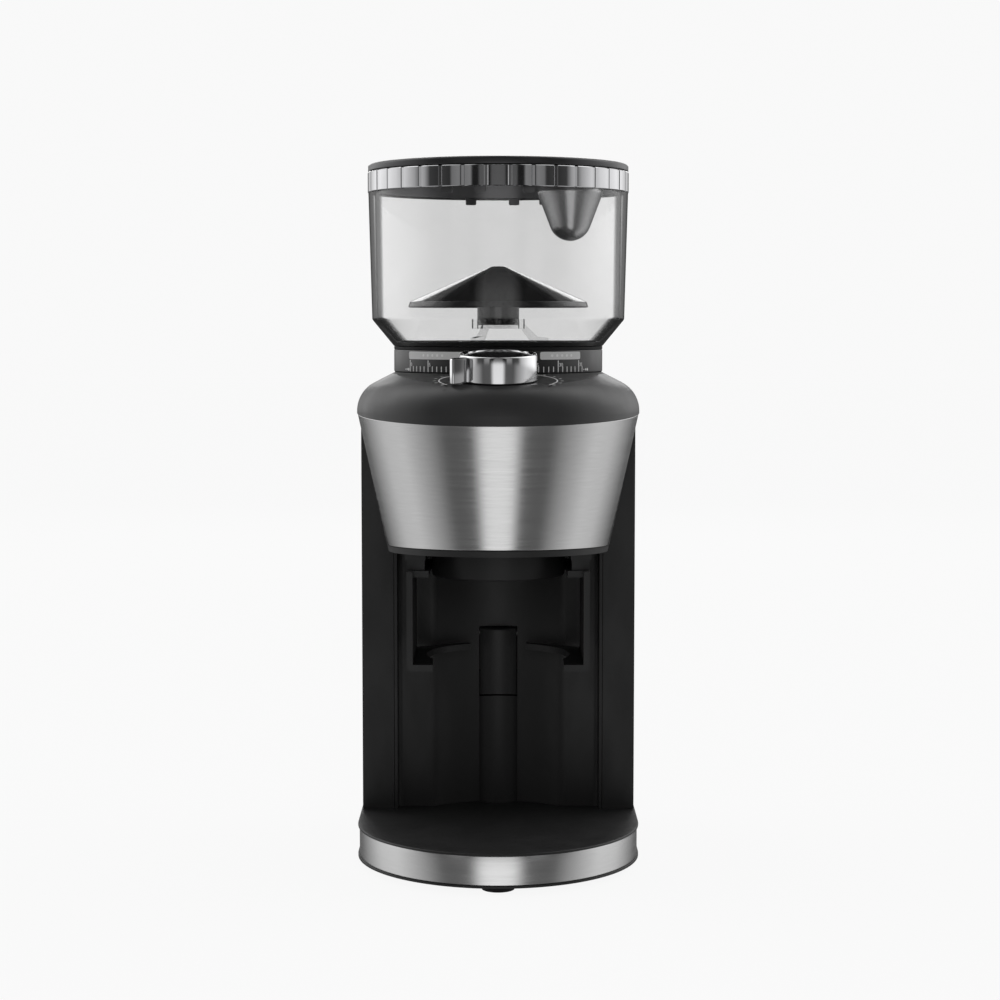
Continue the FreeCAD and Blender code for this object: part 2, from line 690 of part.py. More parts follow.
def shoulder_skin():
    """D block with a sloping, rounded top edge; the deck falls to the front from the fold."""
    body = new_body("shoulder_skin")
    pad(body, d_outline(new_sketch(body, offset="200"), "-lipOut"), "shoulderWall - 200")
    low = d_outline(new_sketch(body, offset="shoulderWall"), "-lipOut")
    high = d_outline(new_sketch(body, offset="shoulderTop"), "shoulderIn")
    loft = body.newObject("PartDesign::AdditiveLoft", "shoulder_loft")
    loft.Profile = low
    loft.Sections = [high]
    loft.Ruled = True
    doc.recompute()
    level = size("shoulderWall")
    fillet(body, "shoulderRound", lambda p, edge: abs(p.z - level) < 0.01)
    trim_side(body, [
        ("-120", "seamZ + seamSlope*(-120 - noseY)"), ("-120", "190"), ("120", "190"),
        ("120", "seamZ"), ("noseY", "seamZ"),
    ])
    trim_side(body, [
        ("-120", "shoulderTop + deckSlope*(-120 - foldY)"), ("foldY", "shoulderTop"),
        ("foldY", "300"), ("-120", "300"),
    ])
    return body


def shoulder_cover():
    """Top cover, hollowed in steps, with the neck and the dial's hole."""
    skin = shoulder_skin()
    hollow = new_body("shoulder_hollow")
    for inset, low, high in (("3", "200", "246"), ("9.5", "245", "251.4"),
                             ("16.5", "251", "254.6")):
        pad(hollow, d_outline(new_sketch(hollow, offset=low), inset), "%s - %s" % (high, low))
    neck = cylinder("shoulder_neck", "neckHole", "240", "270", "0", "grindY")
    dial_hole = cylinder("shoulder_dial_hole", "dialShaftRad + 1.3", "240", "270", "0", "dialY + 0.8")
    openings = fuse("shoulder_openings", [hollow, neck, dial_hole])
    return node(cut("shoulder_cover", skin, openings), "shoulder_cover")


# ---- grinding chamber ----------------------------------------------------------------------

def grind_collar():
    profile = [
        ("collarBore", "collarLow"), ("collarRad - 0.4", "collarLow"),
        ("collarRad", "collarLow + 0.4"), ("collarRad", "collarTop - 0.6"),
        ("collarRad - 0.6", "collarTop"), ("collarBore", "collarTop"),
    ]
    return node(turned("grind_collar", profile), "grind_collar")


def burr_carrier():
    """Screw-in holder of the outer burr, keyed in the collar."""
    profile = [
        ("throatRad + 0.8", "burrTop"), ("burrRad", "burrTop"), ("burrRad", "carrierLow"),
        ("carrierRad", "carrierLow"), ("carrierRad", "collarLow + 0.2"),
        ("carrierFlange", "collarLow + 0.2"), ("carrierFlange", "carrierFlangeTop"),
        ("throatRad + 0.8", "carrierFlangeTop"),
    ]
    return node(turned("burr_carrier", profile), "burr_carrier")


def outer_burr():
    """Ring burr with radial teeth cut in its tapered mouth."""
    body = turned("outer_burr", [
        ("burrSkirt", "burrLow"), ("burrRad", "burrLow"), ("burrRad", "burrTop"),
        ("burrMouth", "burrTop"),
    ])
    tooth = new_sketch(body, offset="burrTop")
    add_box(tooth, "burrMouth - 2", "-0.8", "burrMouth + 6", "0.8")
    feature = pocket(body, tooth, "6")
    polar(body, feature, "18")
    return node(body, "outer_burr")


def inner_burr():
    """Cone burr on the drive shaft, with coarse breaker grooves."""
    body = turned("inner_burr", [
        ("shaftRad", "coneLow"), ("coneRadLow", "coneLow"), ("coneRadLow - 0.3", "burrLow"),
        ("coneRadTop", "coneTop"), ("shaftRad", "coneTop"),
    ])
    groove = new_sketch(body, offset="coneTop")
    add_box(groove, "coneRadTop - 3", "-1.1", "coneRadLow + 2", "1.1")
    feature = pocket(body, groove, "9")
    polar(body, feature, "10")
    return node(body, "inner_burr")


def drive_shaft():
    profile = [
        ("0", "shaftLow"), ("shaftRad", "shaftLow"), ("shaftRad", "coneTop"),
        ("2.5", "coneTop"), ("2.5", "coneTop - 12"), ("0", "coneTop - 12"),
    ]
    return node(turned("drive_shaft", profile), "drive_shaft")


def burr_bolt():
    """Hexagon bolt that clamps the cone burr on the shaft."""
    body = turned("burr_bolt", [
        ("0", "coneTop - 11"), ("2.5", "coneTop - 11"), ("2.5", "coneTop"),
        ("6.5", "coneTop"), ("6.5", "coneTop + 1.2"), ("0", "coneTop + 1.2"),
    ])
    head = new_sketch(body, offset="coneTop + 1.2")
    add_loop(head, [("5*cos(%d)" % (60 * k), "5*sin(%d)" % (60 * k)) for k in range(6)])
    pad(body, head, "4")
    return node(body, "burr_bolt")


def impeller():
    """Sweeper under the burrs that throws the grounds into the chute."""
    body = turned("impeller", [
        ("shaftRad", "vaneLow"), ("9", "vaneLow"), ("9", "vaneTop - 2"), ("20", "vaneTop - 2"),
        ("20", "vaneTop"), ("shaftRad", "vaneTop"),
    ])
    vane = new_sketch(body, offset="vaneLow")
    add_box(vane, "8", "-vaneThick/2", "vaneRad", "vaneThick/2")
    feature = pad(body, vane, "vaneTop - vaneLow")
    polar(body, feature, "6")
    return node(body, "impeller")


def burr_housing():
    """Grinding chamber with a floor bore for the bearing and a window to the chute."""
    body = turned("burr_housing", [
        ("bearingRad", "housingLow"), ("housingRad", "housingLow"), ("housingRad", "housingTop"),
        ("housingBore", "housingTop"), ("housingBore", "housingFloor"),
        ("bearingRad", "housingFloor"),
    ])
    window = new_sketch(body, "XZ_Plane")
    add_box(window, "-12", "housingFloor + 1", "12", "230")
    pocket(body, window, "60", flip=True)
    return node(body, "burr_housing")


def grounds_chute():
    """Duct from the chamber window down into the spout."""
    outer = block("chute_outer", "-14.5", "-39", "176.6", "14.5", "-21", "232")
    bore = block("chute_bore", "-12.5", "-37", "170", "12.5", "-23", "230")
    window = block("chute_window", "-12.5", "-37", "housingFloor + 1", "12.5", "-15", "230")
    hole = fuse("chute_hole", [bore, window])
    return node(cut("grounds_chute", outer, hole), "grounds_chute")


def shaft_bearings():
    """One ball bearing in the chamber floor and one in the gear case."""
    upper = ring("upper_bearing_ring", "shaftRad + runFit", "bearingRad", "housingLow",
                 "housingFloor")
    lower = ring("lower_bearing_ring", "shaftRad + runFit", "9.5", "caseFloor", "caseFloor + 5")
    node(upper, "upper_bearing")
    node(lower, "lower_bearing")


# ---- gear train and motor ------------------------------------------------------------------

BACKLASH_SHIFT = -0.06


def gear_solid(teeth, bore, low, high, turn_deg):
    """Involute spur gear; the teeth are thinned a little for backlash."""
    builder = fcgear.FCWireBuilder()
    involute.CreateExternalGear(builder, size("gearModule"), int(size(teeth)), 20, split=True,
                                addCoeff=0.95, dedCoeff=1.25, filletCoeff=0.38,
                                shiftCoeff=BACKLASH_SHIFT)
    width = size(high) - size(low)
    outline = Part.Wire([edge.toShape() for edge in builder.wire])
    solid = Part.Face(outline).extrude(V(0, 0, width)).cut(Part.makeCylinder(size(bore), width))
    solid.rotate(V(0, 0, 0), V(0, 0, 1), turn_deg)
    solid.translate(V(0, 0, size(low)))
    return solid


def mesh_turn(teeth, direction_deg, gap_first):
    """Turn that puts a tooth (or a gap) of a gear on the line to its partner."""
    pitch = 360.0 / int(size(teeth))
    return direction_deg + (pitch / 2 if gap_first else 0)


def gear_feature(name, shape, x, y):
    feature = doc.addObject("Part::Feature", name)
    feature.Shape = shape
    shaft = FreeCAD.Placement(V(size(x), size(y), 0), FreeCAD.Rotation())
    feature.Placement = shaft.multiply(shape.Placement)
    return node(feature, name)


def gears():
    """Motor pinion, two-step idler and output gear, all in mesh at rest."""
    to_idler = math.degrees(math.atan2(size("idlerY - grindY"), size("idlerX")))
    to_motor = math.degrees(math.atan2(size("motorY - idlerY"), -size("idlerX")))
    low_top = "lowGearZ + gearWidth"
    high_top = "highGearZ + gearWidth"
    output = gear_solid("outputTeeth", "shaftRad", "highGearZ", high_top,
                        mesh_turn("outputTeeth", to_idler, False))
    small = gear_solid("idlerSmallTeeth", "idlerPinRad + runFit", "highGearZ - 2", high_top,
                       mesh_turn("idlerSmallTeeth", to_idler + 180, True))
    big = gear_solid("idlerBigTeeth", "idlerPinRad + runFit", "lowGearZ", low_top,
                     mesh_turn("idlerBigTeeth", to_motor, False))
    pinion = gear_solid("pinionTeeth", "motorShaftRad", "lowGearZ", low_top,
                        mesh_turn("pinionTeeth", to_motor + 180, True))
    gear_feature("output_gear", output, "0", "grindY")
    gear_feature("idler_gear", small.fuse(big).removeSplitter(), "idlerX", "idlerY")
    gear_feature("motor_pinion", pinion, "0", "motorY")


def idler_pin():
    pin = ring("idler_pin", "0", "idlerPinRad", "caseFloor", "caseTop", "idlerX", "idlerY")
    return node(pin, "idler_pin")


def case_outline(sketch, inset):
    half = "(caseHalf - (%s))" % inset
    front = "(caseFrontY + (%s))" % inset
    back = "(caseBackY - (%s))" % inset
    corner = "(caseCorner - (%s))" % inset
    return add_loop(sketch, [
        (half, front + " + " + corner), (half, back + " - " + corner, corner, 1),
        (half + " - " + corner, back), ("-%s + %s" % (half, corner), back, corner, 1),
        ("-" + half, back + " - " + corner), ("-" + half, front + " + " + corner, corner, 1),
        ("-%s + %s" % (half, corner), front), (half + " - " + corner, front, corner, 1),
    ])


def gear_case():
    body = new_body("gear_case")
    pad(body, case_outline(new_sketch(body, offset="caseLow"), "0"), "caseTop - caseLow")
    pocket(body, case_outline(new_sketch(body, offset="caseTop"), "wall"), "caseTop - caseFloor")
    hole = new_sketch(body, offset="caseLow")
    add_circle(hole, "0", "motorY", "motorShaftRad + 1.5")
    pocket(body, hole, "10", flip=True)
    return node(body, "gear_case")


def gear_cover():
    body = new_body("gear_cover")
    pad(body, case_outline(new_sketch(body, offset="caseTop"), "0"), "coverTop - caseTop")
    hole = new_sketch(body, offset="coverTop")
    add_circle(hole, "0", "grindY", "shaftRad + 0.6")
    pocket(body, hole, "10")
    return node(body, "gear_cover")


def motor():
    """Direct-current motor: can, end cap, magnets, armature, commutator, fan and bearings."""
    def part(name, inner, outer, low, high):
        return node(ring(name, inner, outer, low, high, y="motorY"), name)

    can = turned("motor_can", [
        ("motorRad - motorWall", "motorLow"), ("motorRad", "motorLow"),
        ("motorRad", "caseLow"), ("6", "caseLow"), ("6", "caseLow - 5"),
        ("motorRad - motorWall", "caseLow - 5"),
    ], y="motorY")
    node(can, "motor_can")
    part("motor_end_cap", "6", "motorRad", "motorLow - 5", "motorLow")
    part("rotor_shaft", "0", "motorShaftRad", "motorLow - 5", "lowGearZ + gearWidth")
    part("armature", "motorShaftRad", "15.2", "motorLow + 16", "motorLow + 56")
    part("commutator", "motorShaftRad", "7", "motorLow + 3", "motorLow + 13")
    part("motor_fan", "motorShaftRad", "17", "motorLow + 60", "motorLow + 68")
    bearings = [ring("motor_bearing_low", "motorShaftRad + runFit", "6", "motorLow - 5",
                     "motorLow", y="motorY"),
                ring("motor_bearing_high", "motorShaftRad + runFit", "6", "caseLow - 5",
                     "caseLow", y="motorY")]
    node(group("motor_bearings", bearings), "motor_bearings")
    sleeve = ring("magnet_sleeve", "16.6", "motorRad - motorWall", "motorLow + 14",
                  "motorLow + 58", y="motorY")
    split = block("magnet_split", "-7", "motorY - 30", "motorLow", "7", "motorY + 30", "caseLow")
    node(cut("motor_magnets", sleeve, split), "motor_magnets")


def power_board():
    """Mains board on edge beside the motor, with its capacitor and transformer."""
    board = block("power_sheet", "-44", "40", "38", "-42.4", "78", "112")
    coil = block("power_coil", "-42.4", "46", "44", "-28", "66", "66")
    can = block("power_can", "-42.4", "50", "76", "-32", "62", "96")
    return node(fuse("power_board", [board, coil, can]), "power_board")


# ---- hopper and lid ------------------------------------------------------------------------

def hopper_bowl():
    """Clear bowl: throat, flat floor, short flare and a tall, slightly opening wall."""
    profile = [
        ("throatRad", "throatLow"), ("throatRad", "hopperLow"), ("hopperFoot", "hopperLow"),
        ("kinkRad", "kinkZ"), ("rimRad", "rimLow - 0.1"), ("rimRad - 1", "rimLow - 0.1"),
        ("rimRad - 1", "rimTop"), ("rimRad - 3.4", "rimTop"), ("kinkRad - hopperWall", "kinkZ + 0.8"),
        ("hopperFoot - 1.6", "hopperLow + hopperWall"), ("throatRad - 2", "hopperLow + hopperWall"),
        ("throatRad - 2", "throatLow"),
    ]
    return node(turned("hopper_bowl", profile), "hopper_bowl")


def rim_band():
    """Fluted ring let into the hopper's rim."""
    body = ring("rim_band", "rimRad - 0.95", "rimBandRad", "rimLow", "rimTop")
    flute = new_sketch(body, offset="rimTop")
    half = "rimBandRad*0.02"
    add_loop(flute, [("rimBandRad + 1", "-" + half), ("rimBandRad + 1", half),
                     ("rimBandRad - 0.6", "0")])
    feature = pocket(body, flute, "rimTop - rimLow")
    polar(body, feature, "fluteCount")
    return node(body, "rim_band")


def hopper_gasket():
    ring_seal = ring("hopper_gasket", "50", "collarRad", "collarTop + 0.1", "hopperLow - 0.1")
    return node(ring_seal, "hopper_gasket")


def hopper_lid():
    """Lid with an inner skirt and a deep thumb well at the front right."""
    disc = turned("lid_disc", [
        ("0", "lidTop - 2.4"), ("skirtRad - 2", "lidTop - 2.4"), ("skirtRad - 2", "skirtLow"),
        ("skirtRad", "skirtLow"), ("skirtRad", "lidLow"), ("lidRad", "lidLow"),
        ("lidRad", "lidTop - 1.3"), ("lidRad - 1.3", "lidTop"), ("0", "lidTop"),
    ])

    def well(name, inset, top):
        tip = "(wellTipRad - %s)" % inset
        bulb = [("%s*sin(%d)" % (tip, turn), "wellLow + wellTipRad - %s*cos(%d)" % (tip, turn))
                for turn in (0, 14, 28, 42, 56, 70)]
        return turned(name, bulb + [
            ("wellRad - %s" % inset, "wellLow + 25"), ("wellRad - %s" % inset, top), ("0", top),
        ], "wellX", "wellY")

    body = fuse("lid_body", [disc, well("well_outer", "0", "lidTop - 1")])
    return node(cut("hopper_lid", body, well("well_inner", "2", "lidTop + 1")), "hopper_lid")


def lid_gasket():
    seal = ring("lid_gasket", "skirtRad + 0.05", "skirtRad + 1.0", "skirtLow + 4", "skirtLow + 6.4")
    return node(seal, "lid_gasket")


def bean_guard():
    """Conical umbrella over the throat that takes the weight of the beans."""
    profile = [
        ("0", "guardApex"), ("3", "guardApex - 0.7"), ("guardRad", "guardRim + 3"),
        ("guardRad", "guardRim"), ("guardRad - 2.2", "guardRim"),
        ("guardRad - 2.2", "guardRim + 1.6"), ("hubRad", "guardApex - 7.2"),
        ("hubRad", "hubLow"), ("hubRad - 2.4", "hubLow"), ("hubRad - 2.4", "guardApex - 6.8"),
        ("0", "guardApex - 4"),
    ]
    return node(turned("bean_guard", profile), "bean_guard")


def guard_spider():
    """Clear three-legged stand of the bean guard, on the hopper's floor."""
    body = ring("guard_spider", "hubRad + 0.05", "hubRad + 3", "hubLow - 2", "hubLow + 3.2")
    leg = new_sketch(body, "XZ_Plane", "1.5")
    add_loop(leg, [
        ("hubRad + 1", "hubLow - 2"), ("hubRad + 6", "hopperLow + hopperWall"),
        ("hubRad + 16", "hopperLow + hopperWall"), ("hubRad + 16", "hopperLow + hopperWall + 2"),
        ("hubRad + 10", "hopperLow + hopperWall + 2.6"), ("hubRad + 2.5", "hubLow + 1"),
    ])
    feature = pad(body, leg, "3")
    feature.Reversed = True
    polar(body, feature, "3")
    return node(body, "guard_spider")


# ---- dial ----------------------------------------------------------------------------------

def tip_with_dial(thing):
    """Stand a piece on the sloping deck, square to it, at the dial's place."""
    angle = math.degrees(math.atan(size("deckSlope")))
    thing.Placement = FreeCAD.Placement(V(0, 0, 0), FreeCAD.Rotation(V(1, 0, 0), angle))
    place(thing, "0", "dialY", "dialZ")
    return thing


def dial_knob():
    """Bright ring with a pointer fin."""
    body = turned("dial_knob", [
        ("dialRad - 3.3", "0.5"), ("dialRad", "0.5"), ("dialRad", "dialHigh - 0.9"),
        ("dialRad - 0.9", "dialHigh"), ("dialRad - 2.4", "dialHigh"),
        ("dialRad - 3.3", "dialHigh - 0.9"),
    ])
    fin = new_sketch(body, offset="0.5")
    nose = "(finReach - finThick/2)"
    half = "finThick/2"
    turn = "finAngle"

    def at(radius, side):
        return ("%s*cos(%s) - (%s)*sin(%s)" % (radius, turn, side, turn),
                "%s*sin(%s) + (%s)*cos(%s)" % (radius, turn, side, turn))

    root = "(dialRad - 2)"
    add_loop(fin, [
        at(root, "-" + half), at(nose, "-" + half) + (half, 1), at("finReach", "0") + (half, 1),
        at(nose, half), at(root, half),
    ])
    pad(body, fin, "dialHigh - 0.9 - 0.5")
    return node(tip_with_dial(body), "dial_knob")


def dial_insert():
    """Dark dished middle of the dial, with the hub and a well for the button."""
    body = turned("dial_insert", [
        ("dialShaftRad", "1"), ("dialRad - 3.35", "1"), ("dialRad - 3.35", "dialHigh - 1.6"),
        ("12", "dialHigh - 4.4"), ("7.4", "dialHigh - 5.4"), ("buttonRad + 0.3", "dialHigh - 5.4"),
        ("buttonRad + 0.3", "5"), ("dialShaftRad", "5"),
    ])
    return node(tip_with_dial(body), "dial_insert")


def dial_shaft():
    shaft = ring("dial_shaft", "1.5", "dialShaftRad", "-11", "5")
    return node(tip_with_dial(shaft), "dial_shaft")


def start_button():
    """Round push button with a stem that runs down inside the dial's hollow shaft."""
    body = turned("start_button", [
        ("0", "-10"), ("1.2", "-10"), ("1.2", "6.6"), ("buttonRad", "6.6"),
        ("buttonRad", "dialHigh - 5.0"), ("buttonRad - 0.6", "dialHigh - 4.4"),
        ("0", "dialHigh - 4.7"),
    ])
    return node(tip_with_dial(body), "start_button")


def dial_encoder():
    body = new_body("dial_encoder")
    sketch = new_sketch(body, offset="-13.6")
    add_box(sketch, "-6.5", "-6.5", "6.5", "6.5")
    pad(body, sketch, "5.6")
    bore = new_sketch(body, offset="-8")
    add_circle(bore, "0", "0", "dialShaftRad + runFit")
    pocket(body, bore, "4.6")
    return node(tip_with_dial(body), "dial_encoder")


def control_board():
    body = new_body("control_board")
    sketch = new_sketch(body, offset="-15.3")
    add_box(sketch, "-32", "-15", "32", "17")
    pad(body, sketch, "1.6")
    return node(tip_with_dial(body), "control_board")


# ---- assembly, checks and export -----------------------------------------------------------

for build in (base_tray, base_band, base_deck, rubber_feet, base_screws,
              tower_shell, recess_wall, start_paddle, paddle_pin, paddle_spring, paddle_switch,
              cord_gland, head_band, head_shell, chin_plate, spout_collar, cradle,
              shoulder_cover, grind_collar, burr_carrier, outer_burr, inner_burr, drive_shaft,
              burr_bolt, impeller, burr_housing, grounds_chute, shaft_bearings, gears, idler_pin,
              gear_case, gear_cover, motor, power_board, hopper_bowl, rim_band, hopper_gasket,
              hopper_lid, lid_gasket, bean_guard, guard_spider, dial_knob, dial_insert,
              dial_shaft, start_button, dial_encoder, control_board):
    build()
doc.recompute()

for thing in doc.Objects:
    if "Invalid" in thing.State or "Error" in thing.State:
        raise RuntimeError("failed object: %s %s" % (thing.Label, thing.State))
for thing in NODES:
    if thing.Shape.isNull() or not thing.Shape.isValid():
        raise RuntimeError("bad shape: " + thing.Label)

os.makedirs("parts", exist_ok=True)
for thing in NODES:
    thing.Shape.exportStep("parts/%s.step" % thing.Label)
print("%d sub-parts written" % len(NODES))
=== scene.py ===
import json
import math

import bmesh
import bpy
from mathutils import Matrix, Vector


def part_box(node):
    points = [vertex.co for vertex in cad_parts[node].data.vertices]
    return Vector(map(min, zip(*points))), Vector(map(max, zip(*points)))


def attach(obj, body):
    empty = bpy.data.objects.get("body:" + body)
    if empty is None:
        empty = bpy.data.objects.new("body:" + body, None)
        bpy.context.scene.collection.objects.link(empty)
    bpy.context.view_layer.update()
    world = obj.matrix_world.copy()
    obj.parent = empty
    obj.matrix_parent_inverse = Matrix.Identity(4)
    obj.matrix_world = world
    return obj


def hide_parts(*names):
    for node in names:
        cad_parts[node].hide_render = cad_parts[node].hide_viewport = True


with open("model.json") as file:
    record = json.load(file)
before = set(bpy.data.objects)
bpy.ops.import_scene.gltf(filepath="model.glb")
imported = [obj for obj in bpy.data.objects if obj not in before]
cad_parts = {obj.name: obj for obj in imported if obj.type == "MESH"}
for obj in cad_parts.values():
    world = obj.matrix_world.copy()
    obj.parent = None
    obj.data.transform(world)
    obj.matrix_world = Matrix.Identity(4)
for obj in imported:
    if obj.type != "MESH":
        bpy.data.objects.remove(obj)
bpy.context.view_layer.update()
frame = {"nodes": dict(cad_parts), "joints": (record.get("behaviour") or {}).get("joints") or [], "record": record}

# Lengths in this script are millimetres, as in the CAD part; meshes are scaled by MM as they
# are made. Radii and heights come from the boxes of the CAD nodes.
MM = 0.001
UP = Vector((0, 0, 1))


def mm_box(node):
    """Lowest and highest corner of a CAD node in millimetres."""
    low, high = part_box(node)
    return low / MM, high / MM


def joint_named(name):
    """One joint of the frame."""
    return [j for j in frame["joints"] if j["name"] == name][0]


def half_width(node):
    """Half of a CAD node's size along X, which is the radius of a round one."""
    low, high = mm_box(node)
    return (high.x - low.x) / 2


# ---- camera, light and floor -----------------------------------------------------------------

CAMERA_AT = (0.00096, -1.1781, 0.2922)
CAMERA_DIP_DEG = 4.773
LENS_MM = 78.15


def add_camera():
    """Long lens in front, level with the hopper's foot, looking slightly down."""
    data = bpy.data.cameras.new("camera")
    data.lens = LENS_MM
    data.sensor_width = 36.0
    camera = bpy.data.objects.new("camera", data)
    bpy.context.scene.collection.objects.link(camera)
    camera.location = CAMERA_AT
    camera.rotation_euler = (math.radians(90 - CAMERA_DIP_DEG), 0, 0)
    bpy.context.scene.camera = camera


def ramp_node(tree, stops):
    """Colour ramp through grey stops (position, brightness), straight between them."""
    node = tree.nodes.new("ShaderNodeValToRGB")
    node.color_ramp.interpolation = "LINEAR"
    elements = node.color_ramp.elements
    while len(elements) < len(stops):
        elements.new(0.5)
    for element, (position, value) in zip(elements, stops):
        element.position = position
        element.color = (value, value, value, 1)
    return node


def math_node(tree, operation, first, second=None):
    """Math node on sockets or plain numbers; returns its output."""
    node = tree.nodes.new("ShaderNodeMath")
    node.operation = operation
    for socket, value in zip(node.inputs, (first, second)):
        if value is None:
            continue
        if isinstance(value, (int, float)):
            socket.default_value = value
        else:
            tree.links.new(value, socket)
    return node.outputs[0]


# what the camera sees behind the object
BACKDROP = 0.945
# Brightness round the horizon and just below it, from straight ahead (0) to straight behind (1):
# a panel in front, a dark gap, a wide side wall, a dark back.
WALLS = [(0.0, 1.0), (0.07, 0.98), (0.125, 0.12), (0.255, 0.11), (0.33, 0.33), (0.5, 0.72),
         (0.62, 0.66), (0.74, 0.34), (0.84, 0.13), (1.0, 0.10)]
# The same above the horizon: dim strips ahead, the brightest part to the side and behind.
SKY = [(0.0, 0.16), (0.06, 0.15), (0.08, 0.02), (0.13, 0.02), (0.15, 0.35), (0.22, 0.28),
       (0.24, 0.05), (0.34, 0.08), (0.4, 0.6), (0.55, 1.2), (0.72, 1.5), (0.84, 0.9),
       (0.92, 0.2), (1.0, 0.12)]
# Share of the sky by height, from straight down (0) to straight up (1).
RISE = [(0.0, 0.0), (0.465, 0.0), (0.49, 1.0), (1.0, 1.0)]


def add_world():
    """Studio round the object, which only lights it: the camera sees a plain backdrop."""
    world = bpy.data.worlds.new("studio")
    bpy.context.scene.world = world
    world.use_nodes = True
    tree = world.node_tree
    background = tree.nodes["Background"]
    coordinate = tree.nodes.new("ShaderNodeTexCoord")
    axes = tree.nodes.new("ShaderNodeSeparateXYZ")
    tree.links.new(coordinate.outputs["Generated"], axes.inputs[0])
    across = math_node(tree, "ABSOLUTE", axes.outputs[0])
    ahead = math_node(tree, "MULTIPLY", axes.outputs[1], -1.0)
    turn = math_node(tree, "ARCTAN2", across, ahead)
    share = math_node(tree, "DIVIDE", turn, math.pi)
    walls = ramp_node(tree, WALLS)
    tree.links.new(share, walls.inputs[0])
    sky = ramp_node(tree, SKY)
    tree.links.new(share, sky.inputs[0])
    rise = ramp_node(tree, RISE)
    height = math_node(tree, "MULTIPLY_ADD", axes.outputs[2], 0.5)
    height.node.inputs[2].default_value = 0.5
    tree.links.new(height, rise.inputs[0])
    blend = tree.nodes.new("ShaderNodeMix")
    blend.data_type = "RGBA"
    tree.links.new(rise.outputs[0], blend.inputs[0])
    tree.links.new(walls.outputs[0], blend.inputs[6])
    tree.links.new(sky.outputs[0], blend.inputs[7])
    seen = tree.nodes.new("ShaderNodeLightPath")
    final = tree.nodes.new("ShaderNodeMix")
    final.data_type = "RGBA"
    tree.links.new(seen.outputs["Is Camera Ray"], final.inputs[0])
    tree.links.new(blend.outputs[2], final.inputs[6])
    final.inputs[7].default_value = (BACKDROP, BACKDROP, BACKDROP, 1)
    tree.links.new(final.outputs[2], background.inputs[0])


def add_area(name, place, target, size, power, mirrored=True):
    """Soft lamp aimed at a point; one that isn't mirrored shows in no reflection."""
    light = bpy.data.lights.new(name, "AREA")
    light.shape = "RECTANGLE"
    light.size, light.size_y = size
    light.energy = power
    lamp = bpy.data.objects.new(name, light)
    bpy.context.scene.collection.objects.link(lamp)
    lamp.location = place
    lamp.rotation_euler = (Vector(target) - Vector(place)).to_track_quat("-Z", "Y").to_euler()
    lamp.visible_camera = False
    lamp.visible_glossy = mirrored


# together these make the floor as bright as the backdrop
FLOOR_GLOW = 0.912
FLOOR_SHADE = 0.05


def add_floor():
    """Pale table top that runs into the backdrop and takes a faint shadow."""
    mesh = bpy.data.meshes.new("floor")
    shape = bmesh.new()
    bmesh.ops.create_circle(shape, cap_ends=True, radius=9.0, segments=96)
    shape.to_mesh(mesh)
    shape.free()
    floor = bpy.data.objects.new("floor", mesh)
    bpy.context.scene.collection.objects.link(floor)
    paint = bpy.data.materials.new("floor_paint")
    paint.use_nodes = True
    tree = paint.node_tree
    tree.nodes.remove(tree.nodes["Principled BSDF"])
    glow = tree.nodes.new("ShaderNodeEmission")
    glow.inputs[1].default_value = FLOOR_GLOW
    matt = tree.nodes.new("ShaderNodeBsdfDiffuse")
    matt.inputs[0].default_value = (FLOOR_SHADE, FLOOR_SHADE, FLOOR_SHADE, 1)
    both = tree.nodes.new("ShaderNodeAddShader")
    tree.links.new(glow.outputs[0], both.inputs[0])
    tree.links.new(matt.outputs[0], both.inputs[1])
    tree.links.new(both.outputs[0], tree.nodes["Material Output"].inputs[0])
    mesh.materials.append(paint)
    floor.visible_diffuse = False
    floor.visible_glossy = False
    floor.visible_transmission = False
    floor.visible_shadow = False


# ---- materials -------------------------------------------------------------------------------

def add_texture(tree, kind, scale, detail=3.0, stretch=(1, 1, 1)):
    """A noise or wave texture in object space; scale is in features per metre."""
    coordinate = tree.nodes.new("ShaderNodeTexCoord")
    mapping = tree.nodes.new("ShaderNodeMapping")
    mapping.inputs["Scale"].default_value = stretch
    tree.links.new(coordinate.outputs["Object"], mapping.inputs["Vector"])
    texture = tree.nodes.new(kind)
    texture.inputs["Scale"].default_value = scale
    if "Detail" in texture.inputs:
        texture.inputs["Detail"].default_value = detail
    tree.links.new(mapping.outputs[0], texture.inputs["Vector"])
    return texture.outputs["Fac"] if "Fac" in texture.outputs else texture.outputs[0]


def spread(tree, source, low, high):
    """Map a 0..1 texture onto a range of values."""
    node = tree.nodes.new("ShaderNodeMapRange")
    node.inputs["From Min"].default_value = 0.3
    node.inputs["From Max"].default_value = 0.7
    node.inputs["To Min"].default_value = low
    node.inputs["To Max"].default_value = high
    tree.links.new(source, node.inputs[0])
    return node.outputs[0]


def tint(tree, source, dark, light):
    """Mix two colours by a texture."""
    node = tree.nodes.new("ShaderNodeMix")
    node.data_type = "RGBA"
    tree.links.new(spread(tree, source, 0.0, 1.0), node.inputs[0])
    node.inputs[6].default_value = (*dark, 1)
    node.inputs[7].default_value = (*light, 1)
    return node.outputs[2]


def add_bump(tree, shader, source, depth_mm):
    """Relief of a texture on a shader."""
    bump = tree.nodes.new("ShaderNodeBump")
    bump.inputs["Strength"].default_value = 1.0
    bump.inputs["Distance"].default_value = depth_mm * MM
    tree.links.new(source, bump.inputs["Height"])
    tree.links.new(bump.outputs[0], shader.inputs["Normal"])


